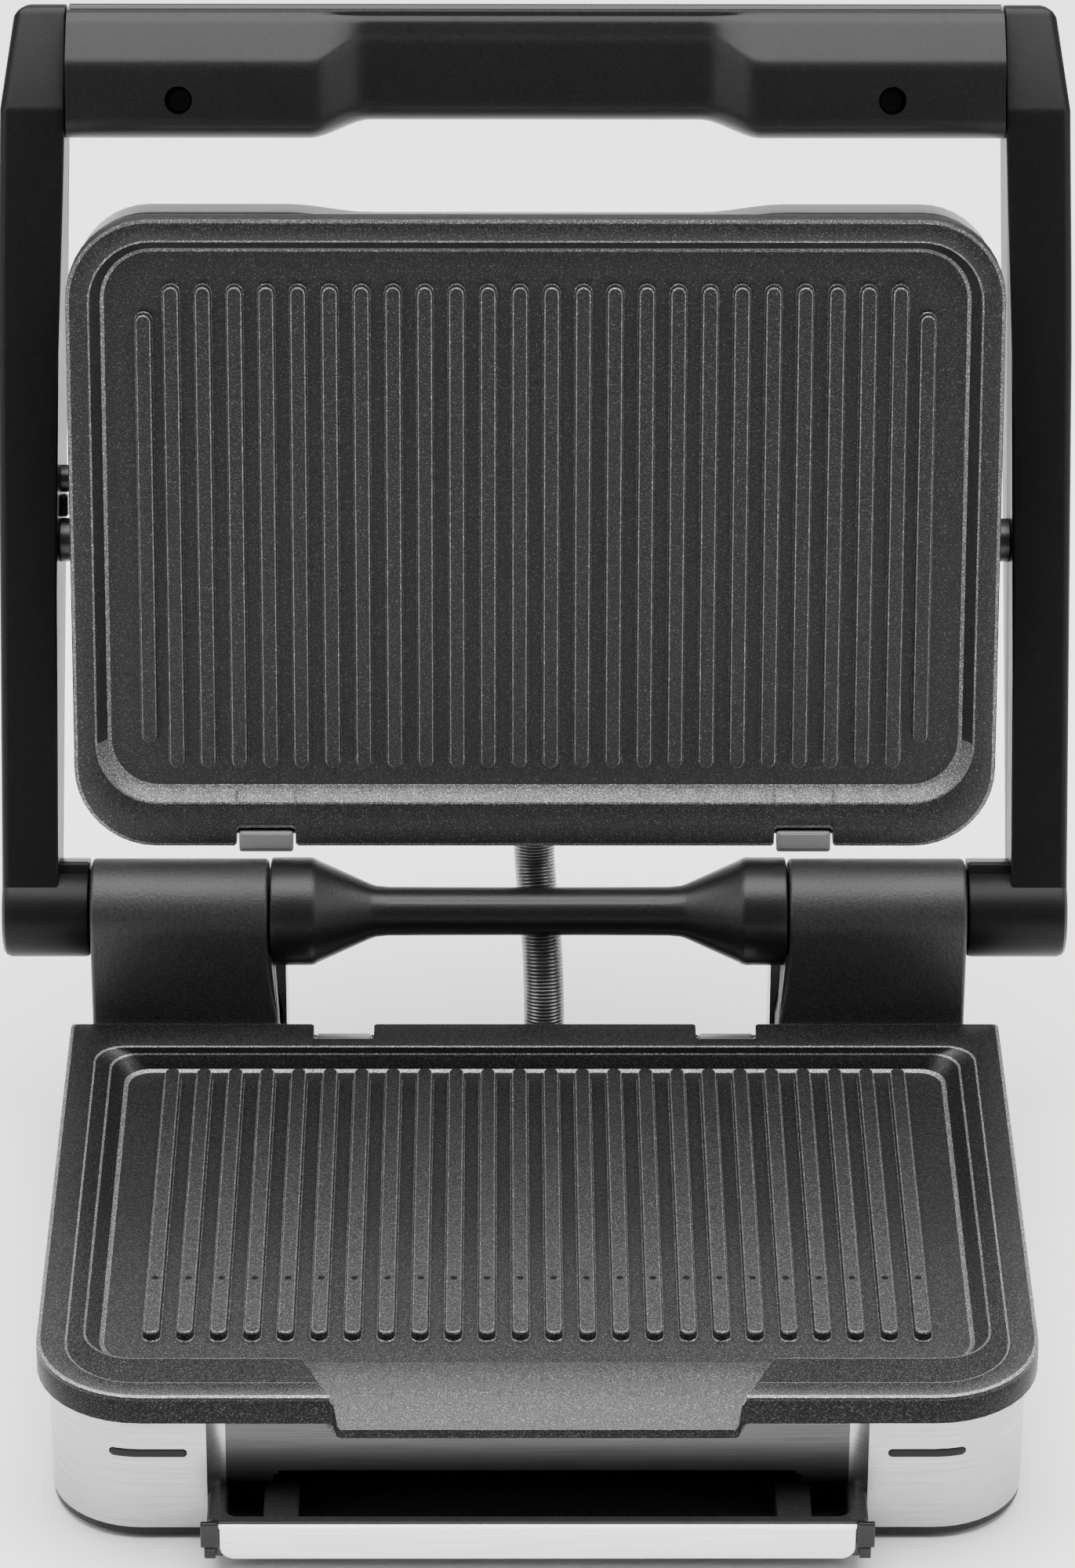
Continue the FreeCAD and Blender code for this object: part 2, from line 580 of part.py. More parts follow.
def handle_underside():
    blends = 6
    stations = [(-HANDLE_END, 0.0)]
    for step in range(blends + 1):
        part = step / blends
        stations.append((-RECESS_HALF - BLEND * (1 - part), (1 - math.cos(math.pi * part)) / 2))
    stations += [(-x, cut) for x, cut in reversed(stations)]
    sections = [handle_section(x, cut) for x, cut in stations]
    spans = [Part.makeLoft([near, far], True, True) for near, far in zip(sections, sections[1:])]
    bar = spans[0].fuse(spans[1:])
    for x in HANDLE_SCREWS_X:
        y, z = yz(259.0, 0)
        bar = bar.cut(cyl(4.4, (x, y, z - 30), (0, 0, 1), 27.0))
        bar = bar.cut(cyl(1.9, (x, y, z - 30), (0, 0, 1), 40.0))
    return bar.removeSplitter()


def handle_top_cover():
    side = [yz(247.0, 5.1), yz(287.6, 5.1), yz(287.6, 9.0), yz(283, 13.0), yz(270, 15.0),
            yz(256, 14.0), yz(247.0, 10.0)]
    cover = prism_x(side, -HANDLE_END, HANDLE_END)
    recess = [(-RECESS_HALF - BLEND, 245), (-RECESS_HALF, 253.2),
              (RECESS_HALF, 253.2), (RECESS_HALF + BLEND, 245)]
    cover = cover.cut(prism_z([(x, HINGE_Y - s) for x, s in recess], HINGE_Z, HINGE_Z + 30))
    for x in HANDLE_SCREWS_X:
        y, z = yz(259.0, 0)
        cover = cover.cut(cyl(1.7, (x, y, z), (0, 0, 1), 11.5))
    return cover


def handle_trim():
    side = [yz(287.7, -6.3), yz(289.2, -5.4), yz(HANDLE_S, -3.5), yz(HANDLE_S, 5.5), yz(287.7, 8.6)]
    return prism_x(side, 0.7 - HANDLE_END, HANDLE_END - 0.7)


def handle_screws():
    y, z = yz(259.0, -5.0)
    return Part.makeCompound([pan_head_screw(x, y, z, (0, 0, 1), 12.0) for x in HANDLE_SCREWS_X])


def hinge_shaft():
    half = ARM_IN + 8.0
    return cyl(SHAFT_R - 0.02, (-half, HINGE_Y, HINGE_Z), (1, 0, 0), 2 * half)


def spindle_cover():
    """Sleeve between the posts: a flared drum at each end, a cone, and a thin ribbed middle."""
    profile = [(POST_IN - 0.6, 17.4), (71.2, 17.4), (51.0, 8.4), (46.0, 7.9)]
    outline = [(-x, r) for x, r in profile]
    outline += [(x + RIGHT_STEP, r) for x, r in reversed(profile)]
    ring = [(x, HINGE_Y, HINGE_Z + r) for x, r in outline]
    right = POST_IN - 0.6 + RIGHT_STEP
    bore = [(right, HINGE_Y, HINGE_Z + SHAFT_R), (0.6 - POST_IN, HINGE_Y, HINGE_Z + SHAFT_R)]
    sleeve = face_of(ring + bore).revolve(Vec(0, HINGE_Y, HINGE_Z), Vec(1, 0, 0), 360)
    for angle in (-20, 8):
        groove = box(-45, 41, HINGE_Y - 8.6, HINGE_Y - 7.4, HINGE_Z - 0.5, HINGE_Z + 0.5)
        sleeve = sleeve.cut(turned(groove, HINGE_Y, HINGE_Z, angle))
    return sleeve


# ---- upper housing (drawn closed and level) -------------------------------------------------------


def lid_form(inset, z0, z1, edge):
    form = rounded_block(LID_W - 2 * inset, LID_FRONT + inset, LID_REAR - inset, z0, z1,
                         LID_CORNER - inset, LID_CORNER - inset)
    form = fillet_where(form, edge, lambda e: e.BoundBox.ZMin > z1 - 0.01)
    dip = 2.4
    near = LID_FRONT + inset
    hollow = prism_z([(-70, near), (-50, near + dip), (50, near + dip), (70, near),
                      (70, near - 9), (-70, near - 9)], z0 - 1, z1 + 1)
    return form.cut(hollow)


def lid_shell():
    inside = lid_form(WALL, LID_Z - 5, LID_TOP - WALL, LID_EDGE - WALL)
    shell = lid_form(0, LID_Z, LID_TOP, LID_EDGE).cut(inside)
    for side in (-1, 1):
        x0, x1 = sorted((side * 130, side * 150))
        shell = shell.cut(cyl(5.05, (x0, PIVOT_Y, HINGE_Z), (1, 0, 0), x1 - x0))
    stop_y, stop_z = STOP_AT
    shell = shell.cut(cyl(3.05, (-150, stop_y, stop_z), (1, 0, 0), 20))
    for x in (-UPPER_LATCH_X, UPPER_LATCH_X):
        shell = shell.cut(box(x - 7, x + 7, -6, 2, LID_Z - 1, UPPER_TOP + 8))
    return shell.cut(cyl(CONDUIT_R + 1.5, (0, -10, CONDUIT_LID_Z), (0, 1, 0), 20))


def spot_beside_pivot(distance):
    """The stop pin's place in the level housing; at rest it lies on the arm's centre line."""
    angle = math.radians(TILT)
    return (PIVOT_Y - distance * math.cos(angle), HINGE_Z + distance * math.sin(angle))


STOP_AT = spot_beside_pivot(19.6)


def lid_chassis():
    """Inner frame of the housing: a deck round the element, a low wall, and a boss at each pivot."""
    z0 = UPPER_TOP + CLEAR
    ring = lid_form(WALL + 0.2, z0, z0 + 12, 1.0).cut(rounded_block(252, -186, -22, z0 - 1, z0 + 30, 12, 12))
    trim = lid_form(WALL + 3.4, z0 + 3, z0 + 30, 1.0)
    ring = ring.cut(trim.cut(rounded_block(258, -189, -19, z0, z0 + 40, 14, 14)))
    room = lid_form(WALL + 0.3, z0, LID_TOP - WALL - CLEAR, LID_EDGE - WALL)
    for side in (-1, 1):
        x0, x1 = sorted((side * 125.5, side * LID_W / 2))
        ring = ring.fuse(box(x0, x1, PIVOT_Y - 9, PIVOT_Y + 9, z0, HINGE_Z + 9).common(room))
        ring = ring.cut(cyl(5.02, (x0 - 1, PIVOT_Y, HINGE_Z), (1, 0, 0), x1 - x0 + 2))
    ring = ring.cut(cyl(3.05, (-150, STOP_AT[0], STOP_AT[1]), (1, 0, 0), 20))
    ring = ring.cut(cyl(CONDUIT_R + 1.7, (0, -30, CONDUIT_LID_Z), (0, 1, 0), 40))
    for x in (-UPPER_LATCH_X, UPPER_LATCH_X):
        ring = ring.cut(box(x - 6.8, x + 6.8, -9.6, 5, z0 - 1, z0 + 8.2))
    return ring.removeSplitter()


def pivot_pins():
    pin = cyl(5.0, (126, PIVOT_Y, HINGE_Z), (1, 0, 0), LID_W / 2 - 126)
    collar = cyl(7.0, (LID_W / 2 + 0.02, PIVOT_Y, HINGE_Z), (1, 0, 0), ARM_IN - CLEAR - LID_W / 2)
    journal = cyl(4.0, (LID_W / 2, PIVOT_Y, HINGE_Z), (1, 0, 0), ARM_IN + 10 - LID_W / 2)
    return both_sides(pin.fuse(collar).fuse(journal).removeSplitter())


def stop_pin():
    y, z = STOP_AT
    thin = cyl(3.0, (-LID_W / 2, y, z), (1, 0, 0), 15)
    head = cyl(4.4, (-ARM_IN + CLEAR, y, z), (1, 0, 0), ARM_IN - CLEAR - LID_W / 2 - 0.02)
    return thin.fuse(head).removeSplitter()


def lid_gland():
    body = cyl(CONDUIT_R + 1.4, (0, LID_REAR - 6, CONDUIT_LID_Z), (0, 1, 0), 12)
    collar = cyl(CONDUIT_R + 3.3, (0, LID_REAR + 0.05, CONDUIT_LID_Z), (0, 1, 0), 2.5)
    bore = cyl(CONDUIT_R + 0.02, (0, -20, CONDUIT_LID_Z), (0, 1, 0), 40)
    return body.fuse(collar).cut(bore).removeSplitter()


# ---- drip tray ------------------------------------------------------------------------------------
def drip_tray():
    y0, y1 = TRAY_FRONT + 1.4, TRAY_FRONT + TRAY_DEPTH
    z1 = TRAY_Z + TRAY_H
    tray = box(-TRAY_HALF, TRAY_HALF, y0, y1, TRAY_Z, z1)
    tray = fillet_where(tray, 6.0, lambda e: upright(e) and e.BoundBox.YMin > y0 + 5)
    inside = box(5.6 - TRAY_HALF, TRAY_HALF - 5.6, y0 + 2.4, y1 - 2.0, TRAY_Z + 1.8, z1 + 1)
    inside = fillet_where(inside, 4.0, lambda e: upright(e))
    tray = tray.cut(inside)
    for x in (-75.5, 75.5):
        tray = tray.fuse(box(x - 5.2, x + 5.2, y0 + 2, y0 + 17, TRAY_Z + 1, z1 - 1.6))
    return tray.removeSplitter()


def tray_front_strip():
    side = [(TRAY_FRONT, TRAY_Z), (TRAY_FRONT, TRAY_Z + 10.6), (TRAY_FRONT + 1.3, TRAY_Z + 11.6),
            (TRAY_FRONT + 1.3, TRAY_Z)]
    strip = prism_x(side, -93.6, 93.6)
    corner = 4.5
    trim = box(-93.6, 93.6, TRAY_FRONT - 1, TRAY_FRONT + 3, TRAY_Z, TRAY_Z + 30)
    trim = fillet_where(trim, corner, lambda e: e.BoundBox.YLength > 3 and e.BoundBox.ZMax < TRAY_Z + 1)
    return strip.common(trim)


def tray_end_caps():
    cap = box(93.8, 99.0, TRAY_FRONT - 0.4, TRAY_FRONT + 1.3, TRAY_Z + 4.2, TRAY_Z + TRAY_H)
    nub = box(94.6, 98.0, TRAY_FRONT - 0.4, TRAY_FRONT + 1.3, TRAY_Z + 0.4, TRAY_Z + 4.4)
    return both_sides(cap.fuse(nub).removeSplitter())


# ---- conduit between the base and the lid ---------------------------------------------------------


def lid_conduit():
    """Flexible metal conduit with the lid's wiring, from the rear housing up into the lid."""
    top = open_housing(Part.Vertex(0, LID_REAR - 3, CONDUIT_LID_Z)).Point
    ahead = open_housing(Part.Vertex(0, LID_REAR + 12, CONDUIT_LID_Z)).Point
    points = [(CONDUIT_X, CONDUIT_Y, REAR_TOP - 3), (CONDUIT_X, CONDUIT_Y, 38), (2.9, 33.5, 53),
              (2.0, 38.5, 67.5), (0, ahead.y, ahead.z), (0, top.y, top.z)]
    print("conduit route", [tuple(round(v, 1) for v in p) for p in points])
    return tube(points, CONDUIT_R)


# ---- assembly -------------------------------------------------------------------------------------
def rest_parts():
    """Every node at rest: the base as drawn, the lid opened."""
    post = hinge_post()
    cover = post_cover()
    nodes = {
        "base_tub": base_tub(),
        "base_shell": base_shell(),
        "plate_carrier": plate_carrier(),
        "lower_reflector": reflector(SHELL_TOP - 2.0, 27.0, -178, -26, 246),
        "lower_heating_element": heating_element(40.6, -164, -40, 104, 3.2),
        "lower_thermostat": thermostat(29.0, 40),
        "lower_thermal_fuse": thermal_fuse(31.0, -40),
        "terminal_block": terminal_block(),
        "indicator_lens_left": indicator_lens(-1),
        "indicator_lens_right": indicator_lens(1),
        "indicator_lamps": indicator_lamps(),
        "tray_rails": tray_rails(),
        "feet": feet(),
        "base_screws": base_screws(),
        "rear_housing": rear_housing(),
        "mains_gland": mains_gland(),
        "conduit_gland": conduit_gland(),
        "hinge_post_right": stepped(post),
        "hinge_post_left": mirror_x(post),
        "post_cover_right": stepped(cover),
        "post_cover_left": mirror_x(cover),
        "hinge_bushes": hinge_bushes(),
        "lid_conduit": lid_conduit(),
        "lower_grill_plate": lower_grill_plate(),
        "lower_latch_left": lower_latch(-LOWER_LATCH_X),
        "lower_latch_right": lower_latch(LOWER_LATCH_X),
        "drip_tray": drip_tray(),
        "tray_front_strip": tray_front_strip(),
        "tray_end_caps": tray_end_caps(),
    }
    frame = {
        "right_arm": arm(POST_OUT + RIGHT_STEP),
        "left_arm": mirror_x(arm(POST_OUT)).fuse(stop_lug()).removeSplitter(),
        "handle_underside": handle_underside(),
        "handle_top_cover": handle_top_cover(),
        "handle_trim": handle_trim(),
        "handle_screws": handle_screws(),
        "hinge_shaft": hinge_shaft(),
        "spindle_cover": spindle_cover(),
    }
    housing = {
        "lid_shell": lid_shell(),
        "lid_chassis": lid_chassis(),
        "upper_reflector": reflector(UPPER_TOP + 1, LID_TOP - 5, -184, -24, 248),
        "upper_heating_element": heating_element(UPPER_TOP + 3.6, -164, -42, 104, 3.2),
        "upper_thermal_fuse": thermal_fuse(UPPER_TOP + 12, -40),
        "pivot_pins": pivot_pins(),
        "stop_pin": stop_pin(),
        "lid_gland": lid_gland(),
        "upper_grill_plate": upper_grill_plate(),
        "upper_latch_left": upper_latch(-UPPER_LATCH_X),
        "upper_latch_right": upper_latch(UPPER_LATCH_X),
    }
    nodes.update({name: open_frame(shape) for name, shape in frame.items()})
    nodes.update({name: open_housing(shape) for name, shape in housing.items()})
    return nodes


def middle_of(nodes):
    """Half way between the frontmost and the rearmost point of the whole press."""
    boxes = [shape.optimalBoundingBox() for shape in nodes.values()]
    return (min(b.YMin for b in boxes) + max(b.YMax for b in boxes)) / 2


def build():
    nodes = rest_parts()
    shift = Vec(0, -middle_of(nodes), 0)
    print("origin shift", round(shift.y, 3))
    return {name: shape.translated(shift) for name, shape in nodes.items()}, shift.y


def export(nodes):
    os.makedirs("parts", exist_ok=True)
    for name, shape in nodes.items():
        shape.exportStep("parts/" + name + ".step")
        state = "ok" if shape.isValid() else "INVALID"
        print(name, state, len(shape.Solids), round(shape.Volume))


NODES, ORIGIN_SHIFT = build()
export(NODES)
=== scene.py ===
import json
import math

import bmesh
import bpy
from mathutils import Matrix, Vector


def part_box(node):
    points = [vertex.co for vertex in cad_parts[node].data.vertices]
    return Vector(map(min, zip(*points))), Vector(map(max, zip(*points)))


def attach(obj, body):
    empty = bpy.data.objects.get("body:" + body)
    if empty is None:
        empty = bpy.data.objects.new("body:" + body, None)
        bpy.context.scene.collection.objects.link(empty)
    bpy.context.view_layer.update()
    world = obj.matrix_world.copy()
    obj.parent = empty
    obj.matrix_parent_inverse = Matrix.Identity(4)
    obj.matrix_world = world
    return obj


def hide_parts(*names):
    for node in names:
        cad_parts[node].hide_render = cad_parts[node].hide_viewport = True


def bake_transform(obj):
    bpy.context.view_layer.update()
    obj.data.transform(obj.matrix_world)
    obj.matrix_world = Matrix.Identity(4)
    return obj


# Looks of the panini press. Lengths inside the builders are millimetres in the press's own layout:
# X to the right, Y = 0 at the lower plate's rear edge, Z = 0 on the table, and the lid drawn shut and
# level. The matrices BASE, ARMS and HOUSING turn them into frame metres at rest.

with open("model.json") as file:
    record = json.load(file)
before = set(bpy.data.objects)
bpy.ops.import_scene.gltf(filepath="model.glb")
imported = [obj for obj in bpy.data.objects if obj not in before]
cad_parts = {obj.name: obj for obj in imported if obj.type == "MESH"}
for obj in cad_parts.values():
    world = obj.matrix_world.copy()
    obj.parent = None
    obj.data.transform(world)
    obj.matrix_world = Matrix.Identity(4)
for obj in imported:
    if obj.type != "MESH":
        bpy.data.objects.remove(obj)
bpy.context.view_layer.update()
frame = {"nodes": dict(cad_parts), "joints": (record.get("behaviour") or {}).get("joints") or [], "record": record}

MM = 0.001
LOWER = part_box("lower_grill_plate")
REAR_Y = LOWER[1].y
RIM = LOWER[1].z / MM
JOINTS = {joint["name"]: joint for joint in frame["joints"]}
HINGE = Vector(JOINTS["lid_hinge"]["pos_m"])
PIVOT = Vector(JOINTS["lid_float"]["pos_m"])
OPEN_ANGLE = -math.radians(JOINTS["lid_hinge"]["range_deg"][0])
TILT = math.radians(JOINTS["lid_float"]["range_deg"][1])
HINGE_Y = (HINGE.y - REAR_Y) / MM
HINGE_Z = HINGE.z / MM
PIVOT_S = (PIVOT - HINGE).length / MM
POST_LEFT, POST_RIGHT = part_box("hinge_post_left"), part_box("hinge_post_right")
RIGHT_STEP = (POST_RIGHT[1].x + POST_LEFT[0].x) / MM


def about_x(centre, angle):
    """Turn about an axis along X; positive lifts the lid's front."""
    return Matrix.Translation(centre) @ Matrix.Rotation(-angle, 4, "X") @ Matrix.Translation(-centre)


TO_FRAME = Matrix.Translation((0, REAR_Y, 0)) @ Matrix.Scale(MM, 4)
LEVEL_PIVOT = Vector((0, HINGE.y - PIVOT_S * MM, HINGE.z))
BASE = TO_FRAME
ARMS = about_x(HINGE, OPEN_ANGLE) @ TO_FRAME
HOUSING = about_x(HINGE, OPEN_ANGLE) @ about_x(LEVEL_PIVOT, -TILT) @ TO_FRAME


# ---- camera and light ----
def add_camera():
    """Long lens from the front, a little above the lid."""
    elevation = math.radians(29.14)
    azimuth = math.radians(0.37)
    roll = math.radians(0.197)
    distance = 2.042
    aim_x, aim_above_rim = 0.0006, 0.0874
    aim = Vector((aim_x, REAR_Y, RIM * MM + aim_above_rim))
    forward = Vector((math.sin(azimuth) * math.cos(elevation),
                      math.cos(azimuth) * math.cos(elevation), -math.sin(elevation)))
    data = bpy.data.cameras.new("camera")
    data.sensor_width = 36.0
    data.lens = 149.49
    camera = bpy.data.objects.new("camera", data)
    bpy.context.scene.collection.objects.link(camera)
    turn = forward.to_track_quat("-Z", "Y").to_matrix().to_4x4() @ Matrix.Rotation(roll, 4, "Z")
    camera.matrix_world = Matrix.Translation(aim - forward * distance) @ turn
    bpy.context.scene.camera = camera


def area_light(name, place, aim, size, power):
    data = bpy.data.lights.new(name, "AREA")
    data.shape = "RECTANGLE"
    data.size, data.size_y = size
    data.energy = power
    light = bpy.data.objects.new(name, data)
    bpy.context.scene.collection.objects.link(light)
    spot = Vector(place)
    turn = (Vector(aim) - spot).to_track_quat("-Z", "Y").to_matrix().to_4x4()
    light.matrix_world = Matrix.Translation(spot) @ turn


def add_lights():
    """A large softbox above, two small ones at the sides, and a world that is darker in front."""
    front_strength, rear_strength = 0.10, 0.80
    world = bpy.data.worlds.new("studio")
    bpy.context.scene.world = world
    world.use_nodes = True
    background = world.node_tree.nodes["Background"]
    background.inputs["Color"].default_value = (1.0, 1.0, 1.0, 1)
    direction = world.node_tree.nodes.new("ShaderNodeTexCoord")
    axes = world.node_tree.nodes.new("ShaderNodeSeparateXYZ")
    strength = world.node_tree.nodes.new("ShaderNodeMapRange")
    strength.inputs["From Min"].default_value = -1.0
    strength.inputs["To Min"].default_value = front_strength
    strength.inputs["To Max"].default_value = rear_strength
    world.node_tree.links.new(direction.outputs["Generated"], axes.inputs["Vector"])
    world.node_tree.links.new(axes.outputs["Y"], strength.inputs["Value"])
    world.node_tree.links.new(strength.outputs["Result"], background.inputs["Strength"])
    area_light("top_softbox", (0, 0.25, 1.8), (0, 0.1, 0), (2.6, 2.0), 150)
    area_light("left_softbox", (-1.5, -0.5, 0.8), (0, 0, 0.15), (0.9, 1.3), 12)
    area_light("right_softbox", (1.5, -0.5, 0.8), (0, 0, 0.15), (0.9, 1.3), 12)


# ---- materials ----
def new_material(name, colour, metallic, roughness):
    material = bpy.data.materials.new(name)
    material.use_nodes = True
    shader = material.node_tree.nodes["Principled BSDF"]
    shader.inputs["Base Color"].default_value = (*colour, 1)
    shader.inputs["Metallic"].default_value = metallic
    shader.inputs["Roughness"].default_value = roughness
    return material, shader


def add_node(material, kind, **inputs):
    node = material.node_tree.nodes.new(kind)
    for key, value in inputs.items():
        node.inputs[key.replace("_", " ")].default_value = value
    return node


def link(material, out, into):
    material.node_tree.links.new(out, into)


def coordinates(material, stretch=(1, 1, 1)):
    """Object coordinates, squeezed so that a pattern runs along one axis."""
    source = material.node_tree.nodes.new("ShaderNodeTexCoord")
    mapping = material.node_tree.nodes.new("ShaderNodeMapping")
    mapping.inputs["Scale"].default_value = stretch
    link(material, source.outputs["Object"], mapping.inputs["Vector"])
    return mapping.outputs["Vector"]


def noise_at(material, vector, scale, detail=3.0, roughness=0.6):
    node = add_node(material, "ShaderNodeTexNoise", Scale=scale, Detail=detail, Roughness=roughness)
    link(material, vector, node.inputs["Vector"])
    return node.outputs["Fac"]


def ramp(material, value, stops):
    node = material.node_tree.nodes.new("ShaderNodeValToRGB")
    while len(node.color_ramp.elements) < len(stops):
        node.color_ramp.elements.new(0.5)
    for element, (place, colour) in zip(node.color_ramp.elements, stops):
        element.position = place
        element.color = (*colour, 1)
    link(material, value, node.inputs["Fac"])
    return node.outputs["Color"]


def spread(material, value, low, high):
    node = add_node(material, "ShaderNodeMapRange", To_Min=low, To_Max=high)
    link(material, value, node.inputs["Value"])
    return node.outputs["Result"]


def add_bump(material, shader, height, strength, distance):
    node = add_node(material, "ShaderNodeBump", Strength=strength, Distance=distance)
    link(material, height, node.inputs["Height"])
    link(material, node.outputs["Normal"], shader.inputs["Normal"])


def painted_rear_shade(material, spots, colour, rear_shade_span):
    """Painted shade along Y: colour at 30 % before the first Y, and in full after the second."""
    axes = add_node(material, "ShaderNodeSeparateXYZ")
    link(material, spots, axes.inputs["Vector"])
    share = add_node(material, "ShaderNodeMapRange", From_Min=rear_shade_span[0], From_Max=rear_shade_span[1], To_Min=0.3)
    link(material, axes.outputs["Y"], share.inputs["Value"])
    scaled = add_node(material, "ShaderNodeVectorMath")
    scaled.operation = "SCALE"
    link(material, colour, scaled.inputs["Vector"])
    link(material, share.outputs["Result"], scaled.inputs["Scale"])
    return scaled.outputs["Vector"]


def nonstick(name, painted_light, shine=0.5, rear_shade_span=None):
    """Dark coating with fine bright flecks.

    The second argument is how much lighter the coating is painted, as painted highlight and sheen where light
    falls, and the fourth the two Y between which the colour comes in, darker behind them as painted shade.
    """
    base, bright = 0.009 + 0.10 * painted_light, 0.075 + 0.40 * painted_light
    material, shader = new_material(name, (base, base, base), 0.4 * shine + 0.3 * painted_light, 0.42 - 0.1 * painted_light)
    spots = coordinates(material)
    grains = noise_at(material, spots, 2500.0, 1.0, 0.4)
    colour = ramp(material, grains, [(0.36, (base * 0.5,) * 3), (0.55, (base * 1.1,) * 3),
                                     (0.63, (bright * 0.4,) * 3), (0.74, (bright,) * 3)])
    if rear_shade_span:
        colour = painted_rear_shade(material, spots, colour, rear_shade_span)
    link(material, colour, shader.inputs["Base Color"])
    patches = noise_at(material, spots, 700.0, 2.0)
    link(material, spread(material, patches, 0.28, 0.52), shader.inputs["Roughness"])
    add_bump(material, shader, noise_at(material, spots, 1700.0, 2.0), 0.35, 0.0002)
    shader.inputs["Specular IOR Level"].default_value = shine
    return material


def brushed(name, tone, roughness, stretch, strength=0.12):
    """Stainless sheet with fine lines; stretch is small along the direction of the lines."""
    material, shader = new_material(name, (tone,) * 3, 1.0, roughness)
    lines = noise_at(material, coordinates(material, stretch), 1.0, 5.0, 0.65)
    broad = noise_at(material, coordinates(material, tuple(s * 0.12 for s in stretch)), 1.0, 2.0)
    link(material, ramp(material, lines, [(0.3, (tone * 0.74,) * 3), (0.7, (min(tone * 1.14, 1),) * 3)]),
         shader.inputs["Base Color"])
    link(material, spread(material, broad, roughness - 0.02, roughness + 0.03), shader.inputs["Roughness"])
    add_bump(material, shader, lines, strength, 0.0001)
    return material


def moulded(name, tone, roughness, grain, strength, scale=1300.0, specular=0.5):
    """Moulded plastic with a fine spark-eroded grain."""
    material, shader = new_material(name, (tone, tone, tone * 1.02), 0.0, roughness)
    shader.inputs["Specular IOR Level"].default_value = specular
    spots = coordinates(material)
    fine = noise_at(material, spots, scale, 3.0, 0.7)
    cloud = noise_at(material, spots, 35.0, 3.0)
    stops = [(0.35, (tone * (1 - grain),) * 3), (0.7, (tone * (1 + grain),) * 3)]
    link(material, ramp(material, fine, stops), shader.inputs["Base Color"])
    link(material, spread(material, cloud, roughness - 0.06, roughness + 0.06), shader.inputs["Roughness"])
    add_bump(material, shader, fine, strength, 0.0003)
    return material


